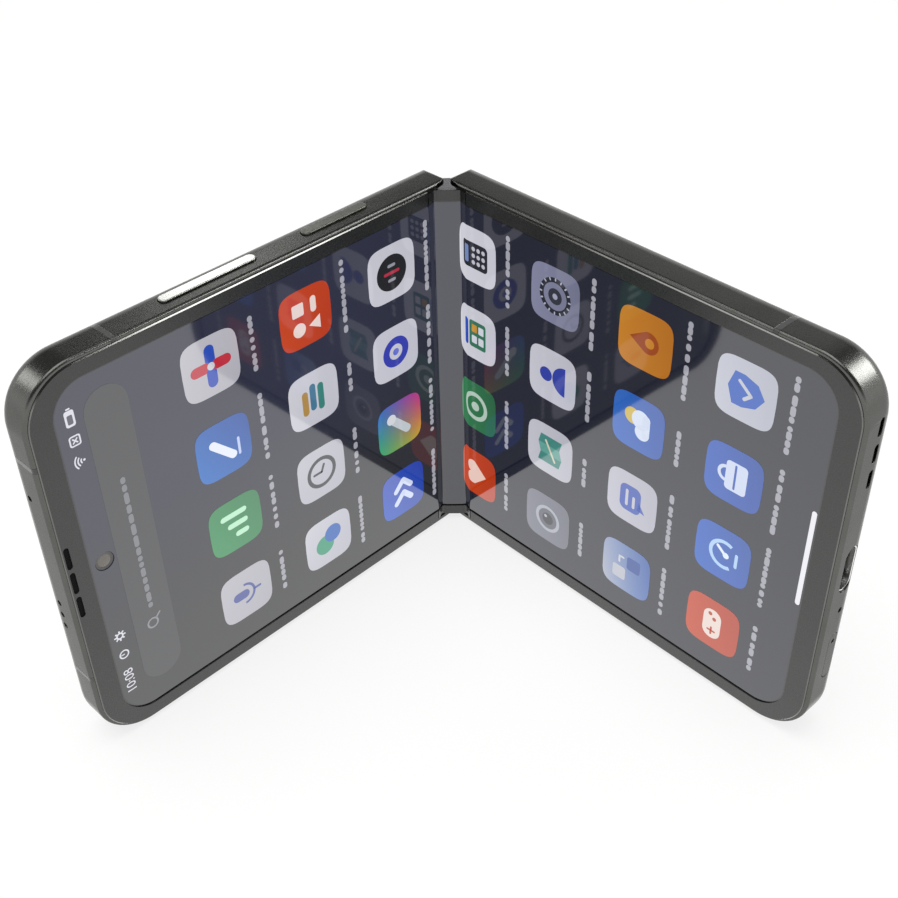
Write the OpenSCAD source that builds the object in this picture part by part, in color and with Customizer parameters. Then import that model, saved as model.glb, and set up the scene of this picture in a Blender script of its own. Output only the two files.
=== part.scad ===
// Foldable smartphone, standing half open on one long edge.
// X runs across the fold, Y away from the viewer and Z up along the fold.
// Each half is drawn lying flat: x from the fold line to its free end, y from the screen
// to the back, z from one long edge to the other. place_lower() and place_upper() then
// turn it about its own hinge axis.

/* [Body] */
// Length of one half, from the fold line to its free end
half_length = 84.5; // [80:0.5:90]
// Width of the body, along the fold
body_width = 74; // [72:0.5:80]
// Thickness of one half
half_thickness = 7.6; // [7.4:0.1:8.2]
// Radius of the free corners, seen from the front
corner_radius = 9.5; // [6:0.5:11]
// Radius of the edge beside the screen
front_edge_radius = 0.6; // [0.3:0.1:0.9]
// Radius of the edge at the back
back_edge_radius = 3.4; // [2.8:0.2:3.6]
// Depth of the joint between the frame and the back cover
cover_joint_depth = 5.8; // [5.6:0.1:6]
// Thickness of the frame's side walls
frame_wall = 1.8; // [1.5:0.1:2.2]
// Thickness of the back cover
cover_wall = 0.8; // [0.6:0.1:1]
// Distance from the body's outline to the cover's hollow
cover_rim = 2.5; // [2.3:0.1:3]

/* [Fold] */
// Angle by which each half is folded up from flat
fold_angle = 46; // [0:1:85]
// Distance of each hinge axis from the fold line
axis_offset = 2.75; // [2.7:0.05:3]
// Depth of the hinge axes behind the screen
axis_depth = 2.45; // [2.3:0.05:2.5]
// Radius of the frame's nose round its hinge axis
nose_radius = 2.2; // [1.8:0.1:2.3]
// Radius of the frame's back corner at the fold
fold_corner_radius = 2.6; // [2:0.2:3]
// Radius of the frame's ends at the fold, seen from the front
fold_end_radius = 1.7; // [1.6:0.1:2.4]
// Thickness of the back wall behind the hinge
hinge_back_wall = 0.9; // [0.8:0.05:1]
// Thickness of the frame's end plates over the hinge spine
end_plate = 1.1; // [1:0.05:1.6]
// Distance of the hinge spine's ends from the body's long edges
spine_inset = 2.2; // [1.8:0.05:2.2]
// Flat distance from the fold line to the front wall of the hinge pocket
pocket_front = 6.6; // [6.2:0.1:6.9]
// Wall between the hinge spine and the inside of a half
hinge_wall = 0.9; // [0.7:0.1:1.2]

/* [Screen] */
// Thickness of the flexible screen
screen_thickness = 0.35; // [0.25:0.05:0.4]
// Thickness of the plate that carries the screen
carrier_thickness = 0.3; // [0.2:0.05:0.4]
// Thickness of the frame's own plate
mid_plate = 0.4; // [0.3:0.05:0.6]
// Inset of the screen from the outline
screen_inset = 1.45; // [1.4:0.05:1.8]
// Flat length from the fold line to where the screen starts to bend
bend_reach = 6; // [5.8:0.1:6.2]
// Distance from the fold line where the screen's turn begins
turn_start = 1.5; // [0.6:0.1:1.6]
// Distance from the fold line where the screen's turn is complete
turn_end = 3.2; // [3:0.05:3.2]
// Height of the bezel above the screen
bezel_height = 0.25; // [0.15:0.05:0.3]
// Inset of the bezel's outer edge from the outline
bezel_inset = 0.65; // [0.6:0.05:0.9]
// Inset of the visible picture from the long edges
picture_side = 3.26; // [2.8:0.1:4]
// Inset of the visible picture from the free end
picture_end = 4.5; // [3.8:0.1:5]
// Corner radius of the visible picture
picture_radius = 6; // [3:0.5:8]
// Flat distance from the fold line to the bezel's end
bezel_start = 6.2; // [6.2:0.1:8]

/* [Hinge] */
// Wall of the hinge spine
spine_wall = 0.6; // [0.5:0.05:0.7]
// Depth of the spine's open rim behind the flat screen
rim_depth = 2.35; // [2.3:0.05:2.6]
// Length of one hinge bracket along the fold
bracket_length = 14; // [12:0.5:16]
// Distance of a bracket from the body's long edge
bracket_inset = 3; // [3:0.2:5]
// Radius of the boss that a rail turns on
boss_radius = 1.8; // [1.6:0.05:1.9]
// Thickness of a rail, along its radius
rail_thickness = 1.07; // [0.9:0.01:1.1]
// Length of a rail along the fold
rail_length = 5.8; // [5:0.2:7]
// Distance from a bracket's end to its rail groove
groove_inset = 2; // [1.6:0.1:3]
// Flat reach of the hinge arms into each half
arm_reach = 14; // [12.5:0.5:16]
// Thickness of an arm's bar
arm_thickness = 1.05; // [0.9:0.05:1.1]
// Running clearance of the rails and shafts
running_fit = 0.03; // [0.02:0.01:0.06]
// Width of the gear housing along the fold
housing_length = 14; // [13:0.5:16]
// Thickness of each housing plate
housing_plate = 2; // [1.6:0.1:2.4]
// Radius of a geared arm's shaft
shaft_radius = 0.8; // [0.7:0.05:0.9]
// Radius of an idler's pin
pin_radius = 0.45; // [0.35:0.05:0.5]
// Radius of the housing's ear round a shaft
ear_radius = 1.5; // [1.3:0.05:1.6]
// Length of the gear teeth along the fold
gear_length = 3; // [2:0.2:3.6]
// Width of a geared arm's lever along the fold
lever_length = 4; // [3:0.2:4.4]
// Size of the gear teeth, as a module
tooth_module = 0.182; // [0.17:0.002:0.186]
// Radius of a hinge screw's head
screw_head_radius = 0.8; // [0.6:0.05:0.9]
// Height of a hinge screw's head
screw_head_height = 0.4; // [0.3:0.05:0.5]
// Radius of a hinge screw's shank
screw_radius = 0.45; // [0.3:0.05:0.5]

/* [Keys] */
// Flat distance from the fold line to the power key's centre
power_key_place = 23.8; // [20:0.1:25]
// Length of the power key
power_key_length = 13.4; // [10:0.2:15]
// Flat distance from the fold line to the volume key's centre
volume_key_place = 49; // [44:0.1:52]
// Length of the volume key
volume_key_length = 17.8; // [12:0.2:20]
// Width of the keys, across the frame
key_width = 1.9; // [1.5:0.1:2.1]
// Depth of the keys' centre behind the screen
key_depth = 3.3; // [3.1:0.1:3.5]
// Height of the keys above the frame
key_height = 0.35; // [0.25:0.05:0.5]
// Travel of the keys
key_travel = 0.25; // [0.2:0.05:0.3]
// Clearance round a key
key_gap = 0.1; // [0.05:0.01:0.15]
// Lip of a key's flange inside the frame
key_lip = 0.4; // [0.3:0.05:0.5]
// Thickness of a key's flange
key_flange = 0.6; // [0.4:0.05:0.8]
// Height of a key switch
switch_height = 1.2; // [1:0.1:1.6]

/* [Ports] */
// Depth of the ports' centre behind the screen
port_depth = 3.8; // [3.6:0.1:4]
// Outer width of the charging connector
usb_width = 8.94; // [8.9:0.01:9]
// Outer height of the charging connector
usb_height = 3.26; // [3.2:0.01:3.3]
// Wall of the charging connector's shell
usb_shell = 0.3; // [0.25:0.05:0.35]
// Length of the charging connector
usb_length = 7.3; // [6.5:0.1:8]
// Width of the connector's tongue
tongue_width = 6.69; // [6.6:0.01:6.8]
// Thickness of the connector's tongue
tongue_thickness = 0.7; // [0.6:0.05:0.8]
// Distance of the tongue's tip inside the connector's mouth
tongue_setback = 1.1; // [0.8:0.1:1.5]
// Distance from the upper long edge to the first loudspeaker slot's centre
speaker_edge = 19.5; // [18.5:0.1:21]
// Spacing of the loudspeaker slots
speaker_pitch = 4.65; // [4.2:0.05:5]
// Number of loudspeaker slots
speaker_slots = 3; // [2:1:3]
// Length of a loudspeaker slot
speaker_slot_length = 3.3; // [2.6:0.1:3.8]
// Width of a loudspeaker slot
speaker_slot_width = 1.1; // [0.8:0.1:1.4]
// Radius of a microphone hole
mic_radius = 0.5; // [0.3:0.05:0.7]
// Distance from the charging connector's centre to the lower half's microphone
mic_offset = 8.6; // [8:0.1:9.2]
// Distance from the charging connector's centre to the SIM tray's centre
tray_offset = 18.7; // [18.2:0.1:19.4]
// Width of the SIM tray's face
tray_width = 9.6; // [9:0.1:10.2]
// Height of the SIM tray's face
tray_height = 2.2; // [1.8:0.1:2.4]
// Length of the SIM tray
tray_length = 16; // [14:0.5:18]
// Thickness of the SIM tray's frame
tray_thickness = 1; // [0.8:0.1:1.2]
// Rim round the card's opening in the tray
tray_rim = 0.8; // [0.6:0.1:1.2]
// Clearance round the SIM tray
tray_gap = 0.1; // [0.05:0.01:0.15]
// Radius of the tray's eject hole
eject_radius = 0.4; // [0.3:0.05:0.5]

/* [Cameras] */
// Distance from the free end to the selfie camera
selfie_end = 7.2; // [6.5:0.1:8.5]
// Radius of the screen's hole over the selfie camera
selfie_hole_radius = 1.7; // [1.5:0.1:2]
// Radius of the selfie camera's barrel
selfie_radius = 2.4; // [2.2:0.1:2.8]
// Depth of the selfie camera module
selfie_module_depth = 3.8; // [3:0.1:4.5]
// Distance from the free end to the outer rear camera
rear_camera_end = 11; // [10:0.1:12.5]
// Spacing of the rear cameras
rear_camera_pitch = 13; // [12:0.1:14]
// Distance from the upper long edge to the rear cameras
rear_camera_edge = 12.5; // [11:0.1:14]
// Outer radius of a rear camera's ring
ring_radius = 5.4; // [4.8:0.1:5.8]
// Radius of the rear camera's window
window_radius = 4.4; // [3.8:0.1:4.6]
// Height of a rear camera's ring above the back
ring_height = 1.1; // [0.6:0.1:1.6]
// Radius of the flash window
flash_radius = 1.6; // [1.2:0.1:2]
// Length of the outside screen, away from the fold
cover_screen_length = 30; // [26:0.5:32]
// Width of the outside screen, along the fold
cover_screen_width = 40; // [34:0.5:42]
// Distance from the free end to the outside screen's centre
cover_screen_end = 22.5; // [21.5:0.5:24.5]
// Distance from the lower long edge to the outside screen's centre
cover_screen_edge = 29; // [27:0.5:30]
// Thickness of the outside screen's panel
cover_screen_thickness = 0.5; // [0.4:0.05:0.7]

/* [Inside] */
// Clearance between neighbouring parts inside
inside_gap = 0.2; // [0.1:0.05:0.3]
// Flat distance from the fold line to the batteries
battery_start = 16; // [15:0.5:17]
// Distance from the upper half's battery to the main board
battery_board_gap = 3; // [2.5:0.5:6]
// Distance from the lower half's battery to the charging board
battery_usb_gap = 4; // [2.5:0.5:6]
// Distance from the lower long edge to the batteries and the main board
battery_edge = 6; // [5:0.5:7]
// Distance from the batteries and the main board to the long edge with the keys
key_side_room = 10; // [9:0.5:14]
// Thickness of the batteries
battery_thickness = 4.3; // [3.6:0.1:4.5]
// Edge radius of the batteries' outline
battery_radius = 1.5; // [1:0.25:2]
// Distance from the free end to the main board
board_end = 3.5; // [3:0.5:5]
// Length of the main board
board_length = 35; // [32:0.5:35.5]
// Thickness of the boards
board_thickness = 0.7; // [0.5:0.05:0.9]
// Height of the posts that carry the boards
post_height = 1; // [0.8:0.1:1.1]
// Radius of the posts
post_radius = 1.4; // [1.2:0.1:1.8]
// Distance of the posts from a board's edges
post_inset = 2; // [1.8:0.1:2.5]
// Height of the shields over the main board's chips
shield_height = 1.4; // [1:0.1:1.6]
// Length of the shield beside the battery
shield_length = 11; // [8:0.5:11]
// Width of the shield beside the battery, along the fold
shield_width = 28; // [20:0.5:34]
// Width of the shield beside the selfie camera, along the fold
end_shield_width = 20; // [14:0.5:22]
// Space between the two shields
shield_space = 1; // [0.6:0.1:2]
// Length of the charging board
usb_board_length = 22.3; // [21:0.1:24]
// Height of the earpiece and of the microphone's can
receiver_height = 2.2; // [1.8:0.1:2.4]
// Length of the earpiece, away from the end wall
receiver_length = 2.4; // [1.8:0.1:3]
// Distance of the arms' inner screws from the hinge wall
arm_screw_room = 1.6; // [1.4:0.1:2]
// Distance of the arms' outer screws from the arms' ends
arm_screw_inset = 1.4; // [1.2:0.1:2]
// Length of the loudspeaker box
speaker_length = 12; // [9:0.5:13]
// Diameter of the vibration motor
motor_diameter = 8; // [6:0.5:8.5]
// Thickness of the vibration motor
motor_thickness = 2.7; // [2:0.1:3]
// Width of the antenna lines
antenna_width = 0.9; // [0.6:0.1:1.4]
// Distance from the free end to the antenna lines in the long edges
antenna_end = 16.5; // [12:0.5:20]
// Width of the flexible cable across the fold
cable_width = 7; // [5:0.5:8]
// Thickness of the flexible cable
cable_thickness = 0.15; // [0.1:0.01:0.2]
// Depth of the flexible cable behind the flat screen
cable_depth = 1.5; // [1.4:0.05:1.7]
// Flat reach of the flexible cable into each half
cable_reach = 13; // [12:0.5:14]
// Distance from the lower long edge to the flexible cable
cable_edge = 20; // [19:0.5:21]

/* [Hidden] */
$fn = 48;

ARC_STEPS = 12;
EDGE_STEPS = 8;
EPS = 0.01;

// hinge radii, from the back wall inwards
pocket_gap = 0.2;
pocket_radius = half_thickness - hinge_back_wall - axis_depth;
spine_radius = pocket_radius - pocket_gap;
trough_radius = spine_radius - spine_wall;
bracket_fit = 0.05;
bracket_radius = trough_radius - bracket_fit;
nose_end = axis_offset - nose_radius;
cap_start = end_plate + inside_gap / 2;
pocket_front_angle = -acos((pocket_front - axis_offset) / pocket_radius);

// depths of the layers behind the screen
carrier_back = screen_thickness + carrier_thickness;
plate_back = carrier_back + mid_plate;
arm_back = plate_back + arm_thickness;
cover_inside = half_thickness - cover_wall;
cavity_start = axis_offset + pocket_radius + hinge_wall;
cavity_end = half_length - frame_wall;
screen_recess = screen_inset - 0.05;
battery_z = [battery_edge, body_width - key_side_room];
antenna_place = half_length - antenna_end;
speaker_place = body_width - speaker_edge;
mic_place = body_width / 2 - mic_offset;
tray_place = body_width / 2 - tray_offset;

// Teeth on a geared arm and on an idler
arm_teeth = 16;
idler_teeth = 12;

// hinge pieces along the fold
bracket_bottom = bracket_inset;
bracket_top = body_width - bracket_inset - bracket_length;
rail_inner = boss_radius + running_fit;
rail_outer = rail_inner + rail_thickness;
groove_outer = rail_outer + 0.05;
groove_length = rail_length + inside_gap;
boss_limit = 2;
rail_low_angle = -20;
rail_high_angle = 100;
housing_start = (body_width - housing_length) / 2;
gear_start = housing_start + housing_plate + 0.8;
lever_start = gear_start + gear_length + 1;
arm_gear_radius = arm_teeth * tooth_module / 2;
idler_gear_radius = idler_teeth * tooth_module / 2;
idler_offset = idler_gear_radius;
idler_depth = axis_depth
    + sqrt(pow(arm_gear_radius + idler_gear_radius, 2) - pow(axis_offset - idler_offset, 2));
mesh_angle = atan2(idler_depth - axis_depth, idler_offset - axis_offset);

// keys and ports
key_low = body_width - frame_wall - inside_gap / 4 - key_flange;
usb_start = half_length - usb_length - 0.3;
tray_mouth = half_length - 1.1;

// The part stands with its box centred on the origin, on its lower long edge.
front_reach = (half_length - front_edge_radius - axis_offset) * sin(fold_angle)
    - (front_edge_radius - axis_depth) * cos(fold_angle) + front_edge_radius;
corner_back = (axis_offset - nose_end - fold_corner_radius) * sin(fold_angle)
    + (half_thickness - fold_corner_radius - axis_depth) * cos(fold_angle) + fold_corner_radius;
back_reach = max(spine_radius, corner_back);
stand_y = (front_reach - back_reach) / 2 - axis_depth;

// Points on an arc about (x, y)
function arc(x, y, radius, from, to, steps = ARC_STEPS) = [
    for (i = [0 : steps])
        let (angle = from + (to - from) * i / steps)
        [x + radius * cos(angle), y + radius * sin(angle)]
];

// A point of a layer that bends over the fold: flat place and depth, turned by a share of
// the fold angle about the lower half's axis
function turned_x(flat, depth, share) = axis_offset
    + (flat - axis_offset) * cos(share * fold_angle)
    + (depth - axis_depth) * sin(share * fold_angle);
function turned_y(flat, depth, share) = axis_depth
    - (flat - axis_offset) * sin(share * fold_angle)
    + (depth - axis_depth) * cos(share * fold_angle);
function smooth(value) = let (v = min(max(value, 0), 1)) v * v * (3 - 2 * v);
function wanted_share(flat, depth, share) =
    smooth((turned_x(flat, depth, share) - turn_start) / (turn_end - turn_start));
function turn_share(flat, depth, low = 0, high = 1, steps = 24) =
    let (middle = (low + high) / 2)
    steps == 0 ? middle
    : wanted_share(flat, depth, middle) > middle
        ? turn_share(flat, depth, middle, high, steps - 1)
        : turn_share(flat, depth, low, middle, steps - 1);
function bent_point(flat, depth) =
    let (share = turn_share(flat, depth))
    [turned_x(flat, depth, share), turned_y(flat, depth, share)];

// Placing a flat-drawn half, or a piece of the hinge
module stand() { translate([0, stand_y, 0]) children(); }
module fold_lower()
    translate([axis_offset, axis_depth, 0]) rotate([0, 0, -fold_angle])
        translate([-axis_offset, -axis_depth, 0]) children();
module place_lower() { stand() fold_lower() children(); }
module place_upper() { stand() mirror([1, 0, 0]) fold_lower() children(); }

// Extruding along the fold, and along the depth of a half
module along_fold(from, to) { translate([0, 0, from]) linear_extrude(to - from) children(); }
module through_depth(from, to)
    translate([0, to, 0]) rotate([90, 0, 0]) linear_extrude(to - from) children();
// Extruding along the length of a half; the outline is drawn in depth and width
module along_length(from, to)
    translate([from, 0, 0]) rotate([90, 0, 90]) linear_extrude(to - from) children();

module block(x, y, z) {
    translate([x[0], y[0], z[0]]) cube([x[1] - x[0], y[1] - y[0], z[1] - z[0]]);
}
module rounded_rect(x, y, r) {
    polygon(concat(
        arc(x[0] + r, y[0] + r, r, 180, 270, EDGE_STEPS),
        arc(x[1] - r, y[0] + r, r, 270, 360, EDGE_STEPS),
        arc(x[1] - r, y[1] - r, r, 0, 90, EDGE_STEPS),
        arc(x[0] + r, y[1] - r, r, 90, 180, EDGE_STEPS)));
}
// A slot with round ends, its length along x
module slot(length, width) {
    reach = (length - width) / 2;
    polygon(concat(arc(reach, 0, width / 2, -90, 90), arc(-reach, 0, width / 2, 90, 270)));
}

// ---- Outline of a half ------------------------------------------------------------

module edge_profile() {
    front = corner_radius - front_edge_radius;
    back = corner_radius - back_edge_radius;
    polygon(concat(
        [[0, 0]],
        arc(front, front_edge_radius, front_edge_radius, 270, 360, EDGE_STEPS),
        arc(back, half_thickness - back_edge_radius, back_edge_radius, 0, 90, EDGE_STEPS),
        [[0, half_thickness]]));
}
module free_corner(width, turn) {
    translate([half_length - corner_radius, 0, width]) rotate([-90, 0, 0])
        rotate([0, 0, turn]) rotate_extrude(angle = 90) edge_profile();
}
// Side view of a half: the nose round the hinge axis, then the rounded back corner
module side_outline() {
    lead = 262;
    nose = arc(axis_offset, axis_depth, nose_radius, lead, 180);
    drop = (nose[0][1] + 1) / -cos(lead);
    polygon(concat(
        [[nose[0][0] - drop * sin(lead), -1]],
        nose,
        arc(nose_end + fold_corner_radius, half_thickness - fold_corner_radius,
            fold_corner_radius, 180, 90, EDGE_STEPS),
        [[half_length + 1, half_thickness], [half_length + 1, -1]]));
}
// Front view of a half, with the rounded ends of its nose
module front_outline() {
    place = nose_end - EPS + fold_end_radius;
    near = fold_end_radius - EPS;
    polygon(concat(
        arc(place, near, fold_end_radius, 180, 270, EDGE_STEPS),
        [[half_length + 1, -EPS], [half_length + 1, body_width + EPS]],
        arc(place, body_width - near, fold_end_radius, 90, 180, EDGE_STEPS)));
}
module half_solid() {
    flat = half_length - corner_radius;
    top = body_width - corner_radius;
    intersection() {
        union() {
            block([0, flat], [0, half_thickness], [corner_radius, top]);
            translate([0, 0, corner_radius]) rotate([0, 90, 0])
                linear_extrude(flat) edge_profile();
            translate([flat, 0, top]) rotate([0, -90, 0])
                linear_extrude(flat) edge_profile();
            along_fold(corner_radius, top) translate([flat, 0]) edge_profile();
            free_corner(corner_radius, 0);
            free_corner(top, -90);
        }
        along_fold(-1, body_width + 1) side_outline();
        through_depth(-1, half_thickness + 1) front_outline();
    }
}
// Front view of a half, inset from its outline; r is the radius of the free corners
module face_outline(side, end, r, start) {
    far = half_length - end;
    top = body_width - side;
    polygon(concat(
        [[start, side]],
        arc(far - r, side + r, r, -90, 0),
        arc(far - r, top - r, r, 0, 90),
        [[start, top]]));
}
module inset_outline(inset, start) {
    face_outline(inset, inset, corner_radius - inset, start);
}
// Room in a half for the hinge spine
module hinge_pocket() {
    along_fold(end_plate, body_width - end_plate)
        polygon(concat(
            [[-1, -1], [pocket_front, -1]],
            arc(axis_offset, axis_depth, pocket_radius, pocket_front_angle, 90, 2 * ARC_STEPS),
            [[-1, axis_depth + pocket_radius]]));
}

// ---- Openings that both a frame and its fittings use ------------------------------

module key_slot(place, length, gap) {
    translate([place, key_depth]) slot(length + 2 * gap, key_width + 2 * gap);
}
// A slot in the free end's face, its length along the fold
module end_slot(place, length, width, from, to) {
    translate([0, port_depth, place]) along_length(from, to) rotate([0, 0, 90])
        slot(length, width);
}
module end_hole(place, radius, from, to) {
    translate([from, port_depth, place]) rotate([0, 90, 0]) cylinder(r = radius, h = to - from);
}
module arm_windows() {
    side = inside_gap / 2;
    for (z = [bracket_bottom, bracket_top])
        block([pocket_front, cavity_start + EPS], [plate_back, arm_back + side],
            [z + groove_inset - side, z + groove_inset + groove_length + side]);
    block([pocket_front, cavity_start + EPS], [plate_back, arm_back + side],
        [lever_start - side, lever_start + lever_length + side]);
    block([pocket_front, cavity_start + EPS],
        [cable_depth - inside_gap, cable_depth + cable_thickness + inside_gap],
        [cable_edge - inside_gap, cable_edge + cable_width + inside_gap]);
}
arm_screw_first = cavity_start + arm_screw_room;
arm_screw_second = arm_reach - arm_screw_inset;
module arm_screw_places() {
    rail = groove_inset + groove_length / 2;
    for (x = [arm_screw_first, arm_screw_second])
        for (z = [bracket_bottom + rail, bracket_top + rail, lever_start + lever_length / 2])
            translate([x, 0, z]) children();
}
module post_places(x, z) {
    for (px = [x[0] + post_inset, x[1] - post_inset])
        for (pz = [z[0] + post_inset, z[1] - post_inset])
            translate([px, 0, pz]) children();
}
module upright(radius, from, to) {
    translate([0, to, 0]) rotate([90, 0, 0]) cylinder(r = radius, h = to - from);
}
module antenna_slabs(ends) {
    for (z = ends)
        block([half_length - frame_wall - 1, half_length + 1], [-1, half_thickness],
            [z - antenna_width / 2, z + antenna_width / 2]);
    for (z = [-1, body_width - frame_wall])
        block([antenna_place - antenna_width / 2, antenna_place + antenna_width / 2],
            [-1, half_thickness], [z, z + frame_wall + 1]);
}

// ---- Shells of a half ---------------------------------------------------------------

module frame_shell() {
    difference() {
        intersection() {
            half_solid();
            block([-1, half_length + 1], [-1, cover_joint_depth], [-1, body_width + 1]);
        }
        hinge_pocket();
        through_depth(-1, carrier_back) inset_outline(screen_recess, -1);
        through_depth(plate_back, half_thickness) inset_outline(frame_wall, cavity_start);
        arm_windows();
        arm_screw_places() upright(screw_radius, carrier_back - EPS, plate_back + EPS);
    }
}
module cover_shell() {
    difference() {
        intersection() {
            half_solid();
            block([-1, half_length + 1], [cover_joint_depth, half_thickness + 1],
                [-1, body_width + 1]);
        }
        hinge_pocket();
        through_depth(0, cover_inside)
            face_outline(cover_rim, cover_rim, corner_radius - cover_rim, cavity_start);
    }
}
module bezel_band() {
    difference() {
        inset_outline(bezel_inset, bezel_start);
        face_outline(picture_side, picture_end, picture_radius, bezel_start - 1);
    }
}
module screen_panel() { through_depth(0, screen_thickness) inset_outline(screen_inset, bend_reach); }
module carrier_panel() {
    through_depth(screen_thickness, carrier_back) inset_outline(screen_inset, pocket_front + 0.1);
}

// ---- Hinge spine ----------------------------------------------------------------------

// Section of the trough at a given radius, cut off at its open rim
module trough_section(radius) {
    rim_angle = asin((rim_depth - axis_depth) / radius);
    polygon(concat(
        arc(axis_offset, axis_depth, radius, rim_angle, 90, 2 * ARC_STEPS),
        arc(-axis_offset, axis_depth, radius, 90, 180 - rim_angle, 2 * ARC_STEPS)));
}
module spine_end_section() {
    trough_section(spine_radius);
    translate([-nose_shadow, 1]) square([2 * nose_shadow, rim_depth]);
}
nose_shadow = 1.6;
module hinge_spine_cover() {
    color("#8f8f96") stand() {
        difference() {
            along_fold(spine_inset, body_width - spine_inset) trough_section(spine_radius);
            along_fold(spine_inset + spine_wall, body_width - spine_inset - spine_wall)
                difference() {
                    translate([-10, 0]) square([20, axis_depth + trough_radius]);
                    difference() {
                        translate([-10, 0]) square([20, 20]);
                        trough_section(trough_radius);
                        translate([-axis_offset, 0])
                            square([2 * axis_offset, rim_depth]);
                    }
                }
            hinge_screw_places() upright(screw_radius, rim_depth, idler_depth + 1);
        }
        for (z = [spine_inset, body_width - spine_inset - spine_wall])
            along_fold(z, z + spine_wall) spine_end_section();
    }
}

module turning_sides(radius) {
    for (side = [0, 1]) mirror([side, 0, 0])
        intersection() {
            translate([axis_offset, axis_depth]) circle(radius);
            translate([boss_limit, -10]) square([20, 20]);
        }
}
module bracket_section() {
    trough_section(bracket_radius);
    turning_sides(boss_radius);
}
module groove_section() {
    difference() {
        trough_section(bracket_radius);
        turning_sides(groove_outer);
    }
    turning_sides(boss_radius);
}
module hinge_bracket(start) {
    groove = start + groove_inset;
    color("#8a8a8a") stand() difference() {
        union() {
            along_fold(start, groove) bracket_section();
            along_fold(groove, groove + groove_length) groove_section();
            along_fold(groove + groove_length, start + bracket_length) bracket_section();
        }
        hinge_screw_places() {
            upright(screw_radius, 0, half_thickness);
            upright(screw_head_radius + 0.05, 0, rim_depth + screw_head_height);
        }
    }
}
module hinge_bracket_bottom() { hinge_bracket(bracket_bottom); }
module hinge_bracket_top() { hinge_bracket(bracket_top); }

// ---- Gear train -------------------------------------------------------------------------

// Involute tooth flank, from the base circle to the tip
function involute(base, radius) =
    let (t = sqrt(max(pow(radius / base, 2) - 1, 0)))
    t * 180 / PI - atan(t);
function tooth(pitch, base, root, tip, half, steps = 4) = concat(
    [[root, -half - involute(base, pitch)]],
    [for (i = [0 : steps]) let (r = max(base, root) + (tip - max(base, root)) * i / steps)
        [r, -half - involute(base, pitch) + involute(base, r)]],
    [for (i = [steps : -1 : 0]) let (r = max(base, root) + (tip - max(base, root)) * i / steps)
        [r, half + involute(base, pitch) - involute(base, r)]],
    [[root, half + involute(base, pitch)]]);
backlash = 0.06;
module gear_section(teeth, first) {
    pitch = teeth * tooth_module / 2;
    base = pitch * cos(20);
    half = 90 / teeth - backlash / pitch * 90 / PI;
    shape = tooth(pitch, base, pitch - 1.2 * tooth_module, pitch + 0.9 * tooth_module, half);
    polygon([for (i = [0 : teeth - 1]) for (p = shape)
        let (angle = p[1] + first + i * 360 / teeth)
        p[0] * [cos(angle), sin(angle)]]);
}
// A tooth of the lower arm points at the lower idler in the pose that is drawn. Each gear
// further along has a gap where the one before it has a tooth.
lower_arm_phase = mesh_angle;
lower_idler_phase = mesh_angle + 180 + 180 / idler_teeth;
idler_turn = 180 - lower_idler_phase;
upper_idler_phase = 180 / idler_teeth + idler_turn;
upper_mesh = 180 - mesh_angle;
upper_arm_phase = upper_mesh + 180 / arm_teeth
    - (upper_idler_phase - upper_mesh - 180) * idler_teeth / arm_teeth;

module gear_housing() {
    far = housing_start + housing_length - housing_plate;
    color("#9a9a9a") stand() difference() {
        union() {
            for (z = [housing_start, far])
                along_fold(z, z + housing_plate) {
                    trough_section(bracket_radius);
                    for (x = [-axis_offset, axis_offset])
                        translate([x, axis_depth]) circle(ear_radius);
                }
            block([-0.7, 0.7], [rim_depth, rim_depth + 0.5],
                [housing_start, housing_start + housing_length]);
        }
        for (x = [-axis_offset, axis_offset])
            translate([x, axis_depth, housing_start - 1])
                cylinder(r = shaft_radius + running_fit, h = housing_length + 2);
        for (x = [-idler_offset, idler_offset])
            translate([x, idler_depth, housing_start - 1])
                cylinder(r = pin_radius + running_fit, h = housing_length + 2);
        hinge_screw_places() {
            upright(screw_radius, 0, half_thickness);
            upright(screw_head_radius + 0.05, 0, rim_depth + screw_head_height);
        }
    }
}
module idler_gear(side, phase) {
    color("#c9b06a") stand() translate([side * idler_offset, idler_depth, 0]) {
        along_fold(gear_start, gear_start + gear_length) gear_section(idler_teeth, phase);
        translate([0, 0, housing_start]) cylinder(r = pin_radius, h = housing_length);
    }
}
module idler_gear_lower() { idler_gear(1, lower_idler_phase); }
module idler_gear_upper() { idler_gear(-1, upper_idler_phase); }

// Screws along the middle of the spine
module hinge_screw_places() {
    half_plate = housing_plate / 2;
    for (z = [bracket_bottom + 1, bracket_bottom + bracket_length - 1,
            bracket_top + 1, bracket_top + bracket_length - 1,
            housing_start + half_plate, housing_start + housing_length - half_plate])
        translate([0, 0, z]) children();
}
module hinge_screws() {
    color("#b0b0b0") stand() hinge_screw_places() {
        upright(screw_radius - 0.02, rim_depth + screw_head_height - EPS, idler_depth + 0.9);
        upright(screw_head_radius, rim_depth, rim_depth + screw_head_height);
    }
}

// ---- Screen and cable over the fold -------------------------------------------------------

FOLD_STEPS = 24;
module bent_layer(depth, thickness, reach, from, to) {
    flat = [for (i = [-FOLD_STEPS : FOLD_STEPS]) reach * i / FOLD_STEPS];
    front = [for (x = flat) let (p = bent_point(abs(x), depth)) [sign(x) * p[0], p[1]]];
    back = [for (x = flat)
        let (p = bent_point(abs(x), depth + thickness)) [sign(x) * p[0], p[1]]];
    last = len(flat) - 1;
    along_fold(from, to) polygon(concat(front, [for (i = [last : -1 : 0]) back[i]]));
}
module fold_screen() {
    color("#26293a") stand() bent_layer(0, screen_thickness, bend_reach,
        screen_inset, body_width - screen_inset);
}
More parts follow.
